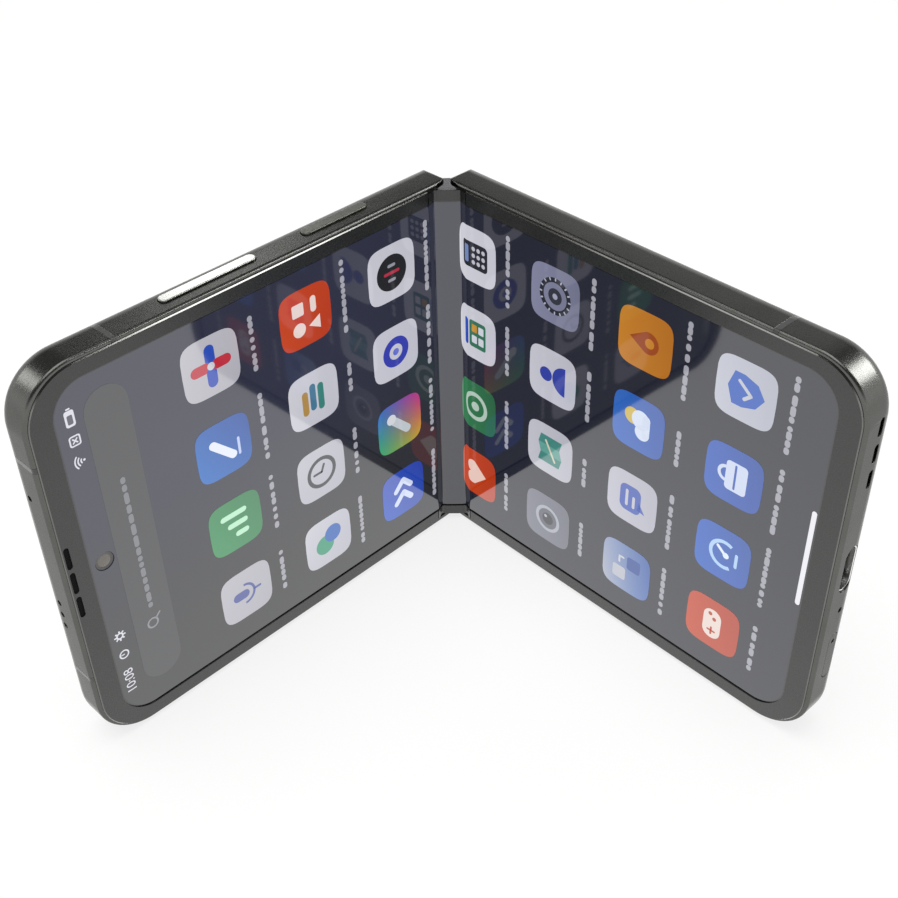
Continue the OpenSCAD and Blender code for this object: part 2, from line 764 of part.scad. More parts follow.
// Soft strips from bezel to bezel over the screen's edges at the fold
module fold_caps() {
    color("#3c3d3a") stand() {
        bent_layer(-bezel_height, bezel_height, bend_reach, cap_start, picture_side);
        bent_layer(-bezel_height, bezel_height, bend_reach,
            body_width - picture_side, body_width - cap_start);
    }
}
module flex_cable() {
    color("#a8642e") stand() bent_layer(cable_depth, cable_thickness, cable_reach,
        cable_edge, cable_edge + cable_width);
}

// ---- Pieces that both halves have -----------------------------------------------------------

module hinge_arms() {
    for (z = [bracket_bottom, bracket_top]) {
        from = z + groove_inset + inside_gap / 2;
        difference() {
            along_fold(from, from + rail_length) difference() {
                union() {
                    translate([axis_offset, axis_depth]) intersection() {
                        circle(rail_outer);
                        polygon(concat([[0, 0]],
                            arc(0, 0, 2 * rail_outer, rail_low_angle, rail_high_angle)));
                    }
                    translate([axis_offset, plate_back])
                        square([arm_reach - axis_offset, arm_thickness]);
                }
                translate([axis_offset, axis_depth]) circle(rail_inner);
            }
            arm_screw_places() upright(screw_radius, 0, half_thickness);
        }
    }
}
module geared_arm(phase) {
    difference() {
        union() {
            translate([axis_offset, axis_depth, 0]) {
                along_fold(gear_start, gear_start + gear_length)
                    gear_section(arm_teeth, phase);
                translate([0, 0, housing_start + 0.5])
                    cylinder(r = shaft_radius, h = housing_length - 1);
                along_fold(lever_start, lever_start + lever_length) circle(hub_radius);
            }
            block([axis_offset, arm_reach], [plate_back, arm_back],
                [lever_start, lever_start + lever_length]);
        }
        arm_screw_places() upright(screw_radius, 0, half_thickness);
    }
}
hub_radius = 1.4;
module arm_screws() {
    arm_screw_places() {
        upright(screw_radius - 0.02, carrier_back, arm_back + EPS);
        upright(screw_head_radius, arm_back, arm_back + screw_head_height);
    }
}
module battery(end) {
    color("#2f3134") through_depth(plate_back + inside_gap, plate_back + inside_gap + battery_thickness)
        rounded_rect([battery_start, end], battery_z, battery_radius);
}
module flex_socket() {
    block([cable_reach - 2.5, cable_reach + 0.3], [plate_back, cable_depth - EPS],
        [cable_edge, cable_edge + cable_width]);
}
module antenna_lines(ends) {
    intersection() {
        difference() {
            half_solid();
            through_depth(-1, half_thickness + 1) inset_outline(frame_wall, -1);
            through_depth(-1, carrier_back) inset_outline(screen_recess, -1);
            block([-1, half_length + 1], [cover_joint_depth, half_thickness + 1],
                [-1, body_width + 1]);
        }
        antenna_slabs(ends);
    }
}
module board_screws(x, z) {
    top = plate_back + post_height + board_thickness;
    post_places(x, z) {
        upright(screw_radius, plate_back + 0.2, top + EPS);
        upright(screw_head_radius, top, top + screw_head_height);
    }
}
module board_posts(x, z) {
    difference() {
        post_places(x, z) upright(post_radius, plate_back - EPS, plate_back + post_height);
        post_places(x, z) upright(screw_radius, plate_back + 0.2, half_thickness);
    }
}

// ---- Lower half: the charging connector, loudspeaker and SIM tray ------------------------------

lower_antenna_ends = [];
usb_board_end = cavity_end - 2 * inside_gap;
usb_board_x = [usb_board_end - usb_board_length, usb_board_end];
usb_board_z = [tray_place + tray_width / 2 + 3, body_width / 2 + usb_width / 2 + 4];

module lower_frame() {
    color("#5c5e58") place_lower() {
        difference() {
            frame_shell();
            antenna_slabs(lower_antenna_ends);
            end_slot(body_width / 2, usb_width + 2 * inside_gap / 2, usb_height + inside_gap,
                cavity_end - 2, half_length + 1);
            for (i = [0 : speaker_slots - 1])
                end_slot(speaker_place + i * speaker_pitch, speaker_slot_length,
                    speaker_slot_width, cavity_end - 2, half_length + 1);
            end_hole(mic_place, mic_radius, cavity_end - 2, half_length + 1);
            end_slot(tray_place, tray_width + 2 * tray_gap, tray_height + 2 * tray_gap,
                cavity_end - 2, half_length + 1);
        }
        board_posts(usb_board_x, usb_board_z);
    }
}
module lower_bezel() { color("#3c3d3a") place_lower() through_depth(-bezel_height, 0) bezel_band(); }
module lower_screen() { color("#26293a") place_lower() screen_panel(); }
module lower_screen_carrier() { color("#9a9a9a") place_lower() carrier_panel(); }
module lower_back_cover() { color("#4a4c4a") place_lower() cover_shell(); }
module lower_hinge_arms() { color("#a5a5a5") place_lower() hinge_arms(); }
module lower_geared_arm() { color("#a5a5a5") place_lower() geared_arm(lower_arm_phase + fold_angle); }
module lower_arm_screws() { color("#b0b0b0") place_lower() arm_screws(); }
module lower_battery() { place_lower() battery(usb_board_x[0] - battery_usb_gap); }
module usb_board() {
    from = plate_back + post_height;
    notch = usb_width / 2 + inside_gap / 2;
    color("#1f4a33") place_lower() difference() {
        block(usb_board_x, [from, from + board_thickness], usb_board_z);
        block([usb_start - inside_gap / 2, half_length], [0, half_thickness],
            [body_width / 2 - notch, body_width / 2 + notch]);
        post_places(usb_board_x, usb_board_z) upright(screw_radius + 0.05, 0, half_thickness);
    }
}
module usb_board_screws() { color("#b0b0b0") place_lower() board_screws(usb_board_x, usb_board_z); }
module usb_connector() {
    inner = usb_shell * 2;
    end = usb_start + usb_length;
    color("#9c9c9c") place_lower() {
        difference() {
            end_slot(body_width / 2, usb_width, usb_height, usb_start, end);
            end_slot(body_width / 2, usb_width - inner, usb_height - inner,
                usb_start + 1.2, end + 1);
        }
        block([usb_start + 1, end - tongue_setback],
            [port_depth - tongue_thickness / 2, port_depth + tongue_thickness / 2],
            [(body_width - tongue_width) / 2, (body_width + tongue_width) / 2]);
    }
}
module loudspeaker() {
    end = half_length - cover_rim - inside_gap;
    color("#1c1c1e") place_lower() difference() {
        block([end - speaker_length, end],
            [plate_back + inside_gap, cover_inside - inside_gap - 0.4],
            [usb_board_z[1] + 3 * inside_gap, body_width - corner_radius]);
        for (i = [0 : speaker_slots - 1])
            end_slot(speaker_place + i * speaker_pitch, speaker_slot_length, speaker_slot_width,
                end - 2, end + 1);
    }
}
reader_wall = 0.4;
module tray_solid(gap, from, to) {
    half = tray_thickness / 2 + gap;
    width = tray_width / 2 - 0.3 + gap;
    block([from, to], [port_depth - half, port_depth + half],
        [tray_place - width, tray_place + width]);
}
module sim_reader() {
    end = cavity_end - inside_gap;
    from = half_length - tray_length - 1.5;
    color("#a9a9a9") place_lower() difference() {
        tray_solid(tray_gap + reader_wall, from, end);
        tray_solid(tray_gap, from + reader_wall, end + 1);
    }
    color("#a9a9a9") place_lower()
        for (z = [tray_place - tray_width / 2 + 1, tray_place + tray_width / 2 - 1])
            block([from + 1, end - 1],
                [plate_back, port_depth - tray_thickness / 2 - tray_gap - reader_wall + EPS],
                [z - 0.4, z + 0.4]);
}
module sim_tray() {
    start = half_length - tray_length;
    rim = tray_rim + 0.3;
    color("#5c5e58") place_lower() difference() {
        union() {
            end_slot(tray_place, tray_width, tray_height, tray_mouth, half_length - 0.02);
            tray_solid(0, start, tray_mouth + EPS);
        }
        block([start + tray_rim, tray_mouth - 2.5], [0, half_thickness],
            [tray_place - tray_width / 2 + rim, tray_place + tray_width / 2 - rim]);
        end_hole(tray_place + tray_width / 2 - 1.6, eject_radius, tray_mouth - 2, half_length + 1);
    }
}
module vibration_motor() {
    low = plate_back + post_height + board_thickness + inside_gap;
    color("#b5b5b5") place_lower()
        translate([usb_board_x[0] + motor_diameter / 2 + 1, 0, body_width / 2])
            upright(motor_diameter / 2, low, low + motor_thickness);
}
module lower_microphone() {
    low = plate_back + post_height + board_thickness;
    color("#c4b27a") place_lower() difference() {
        block([cavity_end - 1.3, cavity_end - inside_gap], [low, low + receiver_height],
            [mic_place - 1.4, mic_place + 1.4]);
        end_hole(mic_place, mic_radius, cavity_end - 0.8, half_length);
    }
}
module lower_flex_socket() { color("#2a2a2a") place_lower() flex_socket(); }
module lower_antenna_lines() { color("#74756f") place_lower() antenna_lines(lower_antenna_ends); }

// ---- Upper half: the keys and cameras -------------------------------------------------------------

upper_antenna_ends = [16.2, 59.3];
upper_mics = [26.3, 28.7, 31.2, 52.4];
earpiece_places = [-1, 0, 1];
earpiece_pitch = 5;
earpiece_length = 4.2;
earpiece_width = 0.9;
earpiece_slot_inset = 1.5;
board_x = [half_length - board_end - board_length, half_length - board_end];
board_z = battery_z;
rear_camera_z = body_width - rear_camera_edge;
rear_camera_outer = half_length - rear_camera_end;
rear_camera_x = [rear_camera_outer - rear_camera_pitch, rear_camera_outer];
flash_x = rear_camera_outer - rear_camera_pitch / 2;
flash_z = rear_camera_z - ring_radius - flash_radius - 0.6;
selfie_z = body_width / 2 + 0.6;
selfie_place = half_length - selfie_end;
cover_screen_place = half_length - cover_screen_end;

module key_cut(place, length) {
    along_fold(body_width - frame_wall - 1, body_width + 1) key_slot(place, length, key_gap);
}
module upper_frame() {
    color("#5c5e58") place_upper() {
        difference() {
            frame_shell();
            antenna_slabs(upper_antenna_ends);
            key_cut(power_key_place, power_key_length);
            key_cut(volume_key_place, volume_key_length);
            for (z = upper_mics) end_hole(z, mic_radius, cavity_end - 2, half_length + 1);
            translate([selfie_place, 0, selfie_z])
                upright(selfie_radius + inside_gap / 2, 0, plate_back + 1);
        }
        board_posts(board_x, board_z);
    }
}
module upper_bezel() {
    color("#3c3d3a") place_upper() through_depth(-bezel_height, 0) difference() {
        bezel_band();
        for (i = earpiece_places)
            translate([half_length - earpiece_slot_inset, body_width / 2 + i * earpiece_pitch])
                rotate([0, 0, 90]) slot(earpiece_length, earpiece_width);
    }
}
module selfie_hole() {
    translate([selfie_place, 0, selfie_z]) upright(selfie_hole_radius, -1, half_thickness);
}
module upper_screen() {
    color("#26293a") place_upper() difference() {
        screen_panel();
        selfie_hole();
    }
}
module upper_screen_carrier() {
    color("#9a9a9a") place_upper() difference() {
        carrier_panel();
        translate([selfie_place, 0, selfie_z])
            upright(selfie_radius + inside_gap / 2, 0, plate_back);
    }
}
module upper_back_cover() {
    color("#4a4c4a") place_upper() difference() {
        cover_shell();
        for (x = rear_camera_x) translate([x, 0, rear_camera_z])
            upright(window_radius + 0.35, cover_inside - 1, half_thickness + 1);
        translate([flash_x, 0, flash_z])
            upright(flash_radius + 0.05, cover_inside - 1, half_thickness + 1);
    }
}
module upper_hinge_arms() { color("#a5a5a5") place_upper() hinge_arms(); }
module upper_geared_arm() {
    color("#a5a5a5") place_upper() geared_arm(180 - upper_arm_phase + fold_angle);
}
module upper_arm_screws() { color("#b0b0b0") place_upper() arm_screws(); }
module upper_battery() { place_upper() battery(board_x[0] - battery_board_gap); }
module main_board() {
    from = plate_back + post_height;
    color("#1f4a33") place_upper() difference() {
        block(board_x, [from, from + board_thickness], board_z);
        post_places(board_x, board_z) upright(screw_radius + 0.05, 0, half_thickness);
        translate([selfie_place, 0, selfie_z])
            upright(selfie_radius + 2 * inside_gap, 0, half_thickness);
    }
}
module main_board_screws() { color("#b0b0b0") place_upper() board_screws(board_x, board_z); }
module board_shields() {
    low = plate_back + post_height + board_thickness;
    edge = board_z[0] + 2 * post_inset;
    first = board_x[0] + post_inset;
    second = first + shield_length + shield_space;
    color("#b8b8b8") place_upper() {
        block([first, first + shield_length], [low, low + shield_height],
            [edge, edge + shield_width]);
        block([second, selfie_place - selfie_radius - post_inset], [low, low + shield_height],
            [edge, edge + end_shield_width]);
    }
}
module key_body(place, length) {
    color("#6a6c66") place_upper() {
        along_fold(key_low, body_width + key_height) key_slot(place, length, 0);
        along_fold(key_low, key_low + key_flange) key_slot(place, length, key_gap + key_lip);
    }
}
module power_key() { key_body(power_key_place, power_key_length); }
module volume_key() { key_body(volume_key_place, volume_key_length); }
// Switches stand on a strip that is clamped against the mid plate
module key_switches() {
    top = key_low - key_travel - 0.05;
    shift = volume_key_length / 4;
    color("#c8c8c8") place_upper() {
        for (x = [power_key_place, volume_key_place - shift, volume_key_place + shift])
            block([x - 1.6, x + 1.6], [key_depth - 0.8, key_depth + 0.8],
                [top - switch_height, top]);
        block([power_key_place - 4, volume_key_place + shift + 4], [plate_back, key_depth + 1],
            [top - switch_height - 0.4, top - switch_height]);
    }
}
module earpiece() {
    low = plate_back + post_height + board_thickness;
    color("#1c1c1e") place_upper()
        block([cavity_end - inside_gap - receiver_length, cavity_end - inside_gap],
            [low, low + receiver_height],
            [body_width / 2 - earpiece_pitch, body_width / 2 + earpiece_pitch]);
}
module selfie_camera() {
    color("#1a1a1c") place_upper() translate([selfie_place, 0, selfie_z]) {
        upright(selfie_hole_radius - 0.1, 0.15, screen_thickness + EPS);
        upright(selfie_radius, screen_thickness, screen_thickness + selfie_module_depth);
    }
}
module rear_camera_modules() {
    low = plate_back + post_height + board_thickness + inside_gap;
    color("#232326") place_upper() for (x = rear_camera_x) translate([x, 0, rear_camera_z]) {
        upright(window_radius - 0.6, low, half_thickness - 0.2);
        block([-window_radius, window_radius], [low, cover_inside - 1],
            [-window_radius, window_radius]);
    }
}
module rear_camera_rings() {
    color("#8c8c8c") place_upper() for (x = rear_camera_x) translate([x, 0, rear_camera_z])
        difference() {
            union() {
                upright(ring_radius, half_thickness, half_thickness + ring_height);
                upright(window_radius + 0.3, cover_inside, half_thickness + EPS);
            }
            upright(window_radius - 0.4, 0, half_thickness + 3);
            upright(window_radius, half_thickness + ring_height - 0.7, half_thickness + 3);
        }
}
module rear_camera_windows() {
    top = half_thickness + ring_height;
    color("#16161a") place_upper() for (x = rear_camera_x) translate([x, 0, rear_camera_z])
        upright(window_radius - 0.02, top - 0.7, top - 0.15);
}
module flash_window() {
    color("#f3efd8") place_upper() translate([flash_x, 0, flash_z])
        upright(flash_radius, cover_inside, half_thickness + 0.1);
}
module cover_screen() {
    half_l = cover_screen_length / 2;
    half_w = cover_screen_width / 2;
    color("#101014") place_upper() through_depth(cover_inside - cover_screen_thickness, cover_inside)
        rounded_rect([cover_screen_place - half_l, cover_screen_place + half_l],
            [cover_screen_edge - half_w, cover_screen_edge + half_w], 2);
}
module upper_flex_socket() { color("#2a2a2a") place_upper() flex_socket(); }
module upper_antenna_lines() { color("#74756f") place_upper() antenna_lines(upper_antenna_ends); }

hinge_spine_cover();
hinge_bracket_bottom();
hinge_bracket_top();
gear_housing();
hinge_screws();
idler_gear_lower();
idler_gear_upper();
fold_screen();
fold_caps();
flex_cable();
lower_frame();
lower_bezel();
lower_screen();
lower_screen_carrier();
lower_back_cover();
lower_hinge_arms();
lower_geared_arm();
lower_arm_screws();
lower_battery();
usb_board();
usb_connector();
loudspeaker();
sim_reader();
sim_tray();
vibration_motor();
lower_microphone();
lower_flex_socket();
lower_antenna_lines();
usb_board_screws();
upper_frame();
upper_bezel();
upper_screen();
upper_screen_carrier();
upper_back_cover();
upper_hinge_arms();
upper_geared_arm();
upper_arm_screws();
upper_battery();
main_board();
board_shields();
main_board_screws();
key_switches();
power_key();
volume_key();
earpiece();
selfie_camera();
rear_camera_modules();
rear_camera_rings();
rear_camera_windows();
flash_window();
cover_screen();
upper_flex_socket();
upper_antenna_lines();
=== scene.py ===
import math
import random
import bpy
import bmesh
from mathutils import Matrix, Vector


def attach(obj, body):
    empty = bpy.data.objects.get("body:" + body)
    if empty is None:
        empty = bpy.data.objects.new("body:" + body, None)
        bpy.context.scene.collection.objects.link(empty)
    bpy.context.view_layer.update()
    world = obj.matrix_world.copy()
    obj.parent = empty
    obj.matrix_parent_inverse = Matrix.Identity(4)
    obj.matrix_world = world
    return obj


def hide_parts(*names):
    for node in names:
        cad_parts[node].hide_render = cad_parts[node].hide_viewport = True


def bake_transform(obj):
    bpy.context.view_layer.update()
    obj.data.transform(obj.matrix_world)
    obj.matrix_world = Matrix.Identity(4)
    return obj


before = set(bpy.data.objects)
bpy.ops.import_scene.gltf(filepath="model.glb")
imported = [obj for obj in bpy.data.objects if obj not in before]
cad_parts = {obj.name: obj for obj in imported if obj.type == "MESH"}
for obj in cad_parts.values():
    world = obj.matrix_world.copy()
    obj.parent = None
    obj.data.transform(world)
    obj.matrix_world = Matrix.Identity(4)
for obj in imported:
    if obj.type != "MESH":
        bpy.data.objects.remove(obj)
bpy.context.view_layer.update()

# ---- Camera ---------------------------------------------------------------------------
# A phone's camera held in front of the open screens and above them, looking down. Its
# place, turn and lens were solved from the corners of both halves in the photograph.
CAMERA_PLACE = Vector((0.0045, -0.1752, 0.1745))
CAMERA_TURN = (-1.51, 38.01, -1.515)
yaw, pitch, roll = (math.radians(angle) for angle in CAMERA_TURN)
forward = Vector((math.sin(yaw) * math.cos(pitch), math.cos(yaw) * math.cos(pitch),
                  -math.sin(pitch)))
level = Vector((math.cos(yaw), -math.sin(yaw), 0))
upward = level.cross(forward)
camera_right = math.cos(roll) * level + math.sin(roll) * upward
camera_up = math.cos(roll) * upward - math.sin(roll) * level
camera = bpy.data.objects.new("camera", bpy.data.cameras.new("camera"))
camera.data.lens = 52.67
camera.data.sensor_width = 36
camera.matrix_world = Matrix.Translation(CAMERA_PLACE) @ Matrix(
    (camera_right, camera_up, -forward)).transposed().to_4x4()
bpy.context.scene.collection.objects.link(camera)
bpy.context.scene.camera = camera
bpy.context.scene.view_settings.view_transform = "Standard"


# ---- Table and light ------------------------------------------------------------------
# A plain white table in a white room, lit evenly from above. The camera, gloss and glass see
# white near the table, which still takes a soft shadow. Gloss sees a dark ceiling, which
# gives the metal its dark tops and pale rounded edges.
def linear(hex_colour):
    """An sRGB hex colour as linear values with full alpha."""
    parts = [int(hex_colour[i:i + 2], 16) / 255 for i in (1, 3, 5)]
    return tuple(p / 12.92 if p <= 0.04045 else ((p + 0.055) / 1.055) ** 2.4
                 for p in parts) + (1.0,)


def add(tree, kind, inputs=None, family="Shader", **settings):
    """A node with its settings; an input is a value, or the socket it is linked to."""
    made = tree.nodes.new(family + "Node" + kind)
    for name, value in settings.items():
        setattr(made, name, value)
    for name, value in (inputs or {}).items():
        if isinstance(value, bpy.types.NodeSocket):
            tree.links.new(value, made.inputs[name])
        else:
            made.inputs[name].default_value = value
    return made


def new_material(name):
    """A named material with an empty tree."""
    made = bpy.data.materials.new(name)
    made.use_nodes = True
    made.node_tree.nodes.clear()
    return made, made.node_tree


def seen_white(tree):
    """1 for rays from the camera, gloss or glass, 0 for the light that falls on things."""
    path = add(tree, "LightPath")
    gloss = add(tree, "Math", {0: path.outputs["Is Camera Ray"],
                               1: path.outputs["Is Glossy Ray"]}, operation="MAXIMUM")
    return add(tree, "Math", {0: gloss.outputs[0], 1: path.outputs["Is Transmission Ray"]},
               operation="MAXIMUM").outputs[0]


PLAIN_WHITE = linear("#ffffff")
ROOM_STRENGTH = 0.62
WALL_TOP, CEILING = 0.12, 0.55
WALL_GLOSS, CEILING_GLOSS = 2.3, 0.18
room = bpy.data.worlds.new("white_room")
room.use_nodes = True
tree = room.node_tree
tree.nodes.clear()
room_light = add(tree, "Background", {"Color": PLAIN_WHITE, "Strength": ROOM_STRENGTH})
height = add(tree, "SeparateXYZ", {0: add(tree, "TexCoord").outputs["Generated"]})
darkening = add(tree, "MapRange", {"Value": height.outputs["Z"], "From Min": WALL_TOP,
                                   "From Max": CEILING, "To Min": WALL_GLOSS,
                                   "To Max": CEILING_GLOSS}, interpolation_type="SMOOTHSTEP")
room_gloss = add(tree, "Background", {"Color": PLAIN_WHITE, "Strength": darkening.outputs[0]})
room_mix = add(tree, "MixShader", {0: seen_white(tree), 1: room_light.outputs[0],
                                   2: room_gloss.outputs[0]})
room_wall = add(tree, "Background", {"Color": PLAIN_WHITE, "Strength": 1.0})
camera_ray = add(tree, "LightPath").outputs["Is Camera Ray"]
room_mix = add(tree, "MixShader", {0: camera_ray, 1: room_mix.outputs[0],
                                   2: room_wall.outputs[0]})
add(tree, "OutputWorld", {"Surface": room_mix.outputs[0]})
bpy.context.scene.world = room

# white laminate: a matt board that still takes a shadow under its own even glow
GLOW_SHARE = 0.78
GLOW_IN_GLOSS = 2.2
table_paint, tree = new_material("white_table_laminate")
painted = add(tree, "BsdfDiffuse", {"Color": linear("#f2f2f0")})
# the lit table is brighter than white paper: gloss shows that, the camera only white
mirrored = add(tree, "MapRange", {"Value": add(tree, "LightPath").outputs["Is Glossy Ray"],
                                  "To Min": 1.0, "To Max": GLOW_IN_GLOSS})
glow = add(tree, "Emission", {"Color": PLAIN_WHITE, "Strength": mirrored.outputs[0]})
share = add(tree, "Math", {0: seen_white(tree), 1: GLOW_SHARE}, operation="MULTIPLY")
table_mix = add(tree, "MixShader", {0: share.outputs[0], 1: painted.outputs[0],
                                    2: glow.outputs[0]})
add(tree, "OutputMaterial", {"Surface": table_mix.outputs[0]})

REACH, DROP = 3, -0.0002
table = bpy.data.objects.new("table_top", bpy.data.meshes.new("table_top"))
table.data.from_pydata([(-REACH, -REACH, DROP), (REACH, -REACH, DROP), (REACH, REACH, DROP),
                        (-REACH, REACH, DROP)], [], [(0, 1, 2, 3)])
table.data.materials.append(table_paint)
bpy.context.scene.collection.objects.link(table)

# two soft boxes light the phone, and lamps that only gloss sees put its highlights in place
for name, place, size, power, in_gloss_only in (
        ("soft_box_above", (-0.1, -0.05, 0.8), 0.7, 5.0, False),
        ("soft_box_behind", (0.25, 0.6, 0.45), 0.5, 0.3, False),
        ("window_right", (0.75, 0.21, 0.45), 0.32, 5.5, True),
        ("window_left", (-0.75, 0.21, 0.45), 0.25, 1.3, True),
        ("lamp_high_right", (0.56, -0.02, 0.64), 0.2, 1.5, True),
        ("lamp_high_left", (-0.55, -0.05, 0.6), 0.22, 0.5, True),
        ("window_behind", (-0.2, 0.757, 0.523), 0.14, 0.26, True)):
    lamp = bpy.data.objects.new(name, bpy.data.lights.new(name, "AREA"))
    lamp.data.shape = "DISK"
    lamp.data.size = size
    lamp.data.energy = power
    lamp.visible_diffuse = not in_gloss_only
    lamp.matrix_world = Matrix.Translation(place) @ Vector(place).to_track_quat(
        "Z", "Y").to_matrix().to_4x4()
    bpy.context.scene.collection.objects.link(lamp)


# ---- Hinge spine ----------------------------------------------------------------------
# A drawn aluminium trough that closes the back of the fold and carries the hinge in it.
# Its outside is polished along its length, so it shows fine lines and long highlights.
def grained(name, pale, dark, grain, metallic=0.0, roughness=0.5, spread=0.06, relief=0.2,
            stretch=(1, 1, 1), blotch=9.0, ior=1.5, rim=1.0):
    """A finish of two close tones: a fine grain in millimetres that also varies the gloss and
    the relief, and broad patches, blotch millimetres wide. Real grit and moulding grain are
    0.02 to 0.1 mm, so each grain is drawn a few times coarser, to show. stretch draws the
    grain out, and rim is what is left of the mirroring at a low angle."""
    made, tree = new_material(name)
    at = add(tree, "TexCoord").outputs["Object"]
    drawn = add(tree, "Mapping", {"Vector": at, "Scale": tuple(1 / s for s in stretch)})
    fine = add(tree, "TexNoise", {"Vector": drawn.outputs[0], "Scale": 1000 / grain,
                                  "Detail": 3.0, "Roughness": 0.6})
    broad = add(tree, "TexNoise", {"Vector": at, "Scale": 1000 / blotch, "Detail": 2.0})
    both = add(tree, "Math", {0: fine.outputs["Fac"], 1: broad.outputs["Fac"]},
               operation="ADD")
    tone = add(tree, "MapRange", {"Value": both.outputs[0], "From Min": 0.7, "From Max": 1.3})
    colour = add(tree, "Mix", {0: tone.outputs[0], 6: linear(dark), 7: linear(pale)},
                 data_type="RGBA")
    gloss = add(tree, "MapRange", {"Value": fine.outputs["Fac"], "From Min": 0.3,
                                   "From Max": 0.7, "To Min": roughness - spread,
                                   "To Max": roughness + spread})
    bump = add(tree, "Bump", {"Strength": relief, "Distance": grain * 0.0002,
                              "Height": fine.outputs["Fac"]})
    shader = add(tree, "BsdfPrincipled", {"Base Color": colour.outputs[2],
                                          "Roughness": gloss.outputs[0],
                                          "Metallic": metallic, "Normal": bump.outputs[0],
                                          "IOR": ior, "Specular Tint": (rim, rim, rim, 1)})
    add(tree, "OutputMaterial", {"Surface": shader.outputs[0]})
    return made


def made_piece(name, shape, *coats):
    """The object of a finished bmesh, with its finishes in the order that its faces count."""
    mesh = bpy.data.meshes.new(name)
    shape.to_mesh(mesh)
    shape.free()
    for coat in coats:
        mesh.materials.append(coat)
    piece = bpy.data.objects.new(name, mesh)
    bpy.context.scene.collection.objects.link(piece)
    return piece


def made_plain(piece):
    """Turns what the modifiers give into the piece's own mesh."""
    seen = piece.evaluated_get(bpy.context.evaluated_depsgraph_get())
    piece.data = bpy.data.meshes.new_from_object(seen)
    piece.modifiers.clear()


def dressed_copy(node, name, body, *coats, easing=0.0, crease=30, trim=None):
    """A merged copy of a CAD piece that stands for it: curved faces smooth, edges steeper than
    crease degrees eased by easing millimetres. trim breaks edges of its own first, whose faces
    may take the second coat."""
    shape = bmesh.new()
    shape.from_mesh(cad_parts[node].data)
    bmesh.ops.remove_doubles(shape, verts=shape.verts, dist=3e-7)
    bmesh.ops.dissolve_limit(shape, angle_limit=math.radians(0.5), verts=shape.verts,
                             edges=shape.edges, use_dissolve_boundaries=False)
    if trim:
        trim(shape)
    for face in shape.faces:
        face.smooth = True
    for edge in shape.edges:
        edge.smooth = edge.is_manifold and edge.calc_face_angle(0) < math.radians(crease)
    piece = made_piece(name, shape, *coats)
    if easing:
        eased = piece.modifiers.new("eased_edges", "BEVEL")
        eased.limit_method = "ANGLE"
        eased.angle_limit = math.radians(crease)
        eased.width = easing / 1000
        eased.segments = 3
        eased.use_clamp_overlap = False
        eased.harden_normals = False
    even = piece.modifiers.new("even_shading", "WEIGHTED_NORMAL")
    even.keep_sharp = not easing
    even.weight = 100
    made_plain(piece)
    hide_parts(node)
    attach(piece, body)
    return piece


drawn_aluminium = grained("drawn_polished_aluminium", "#727276", "#67676b", 0.25, metallic=1.0,
                          roughness=0.3, relief=0.15, stretch=(1, 1, 40))
dressed_copy("hinge_spine_cover", "spine_cover", "hinge", drawn_aluminium, easing=0.12)


# ---- Hinge works ----------------------------------------------------------------------
# Steel brackets with curved rails, arms that slide in them, and a geared pair of levers on
# two idlers that keep both halves at the same angle. Sintered steel, brass and plain screws.
def coat_nodes(coat, *nodes):
    """Gives CAD pieces whose shape is right their finish."""
    for node in nodes:
        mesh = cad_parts[node].data
        mesh.materials.clear()
        mesh.materials.append(coat)


# pressed from powder and fired, so it is grey, dull and a little uneven
sintered_steel = grained("sintered_steel", "#8d8c8a", "#777673", 0.2, metallic=1.0,
                         roughness=0.42, relief=0.35)
# cut on a gear hobber, so its yellow is clean and bright
cut_brass = grained("cut_brass", "#c9ab62", "#a98a46", 0.2, metallic=1.0, roughness=0.3)
# nickel over steel, the brightest metal in the phone
plated_steel = grained("plated_screw_steel", "#b9b9b8", "#9b9b9a", 0.15, metallic=1.0,
                       roughness=0.28)
coat_nodes(sintered_steel, "hinge_bracket_bottom", "hinge_bracket_top", "gear_housing",
           "lower_hinge_arms", "upper_hinge_arms", "lower_geared_arm", "upper_geared_arm")
coat_nodes(cut_brass, "idler_gear_lower", "idler_gear_upper")
coat_nodes(plated_steel, "hinge_screws", "lower_arm_screws", "upper_arm_screws",
           "usb_board_screws", "main_board_screws")

# ---- Half frames ----------------------------------------------------------------------
# Each half is one milled aluminium frame, blasted with fine grit and anodised gunmetal. The
# grit leaves a soft sheen, and each edge is eased by a tiny rounded chamfer in the same finish.
blasted_gunmetal = grained("blasted_anodised_aluminium", "#4d4d4b", "#444442", 0.22,
                           metallic=1.0, roughness=0.27, spread=0.04, relief=0.2, rim=0.6)
dressed_copy("lower_frame", "lower_half_frame", "lower_half", blasted_gunmetal, easing=0.07)
dressed_copy("upper_frame", "upper_half_frame", "upper_half", blasted_gunmetal, easing=0.07)

# ---- Antenna lines --------------------------------------------------------------------
# Glass-filled plastic that is moulded into cuts across the frame and milled flush with it.
# It is dark grey and duller than the metal, so the lines show only faintly.
filled_plastic = grained("glass_filled_nylon", "#21211f", "#1b1b1a", 0.3, roughness=0.4)
coat_nodes(filled_plastic, "lower_antenna_lines", "upper_antenna_lines")

# ---- Boards, batteries and small parts inside -----------------------------------------
# Foil-wrapped cells, green solder-masked boards, stamped steel shields and moulded boxes,
# all glued or screwed to the frame's mid plate.

# a wrinkled dark foil with a slight sheen
battery_foil = grained("wrapped_battery_foil", "#34363a", "#27292c", 1.2, roughness=0.4)
# a glossy lacquer over glass cloth, mottled green
solder_mask = grained("green_solder_mask", "#22553a", "#183f2b", 0.8, roughness=0.3)
# rolled sheet, so its fine lines run one way
stamped_steel = grained("stamped_steel", "#b1b1b0", "#989897", 0.3, metallic=1.0,
                        roughness=0.32, stretch=(1, 1, 12))
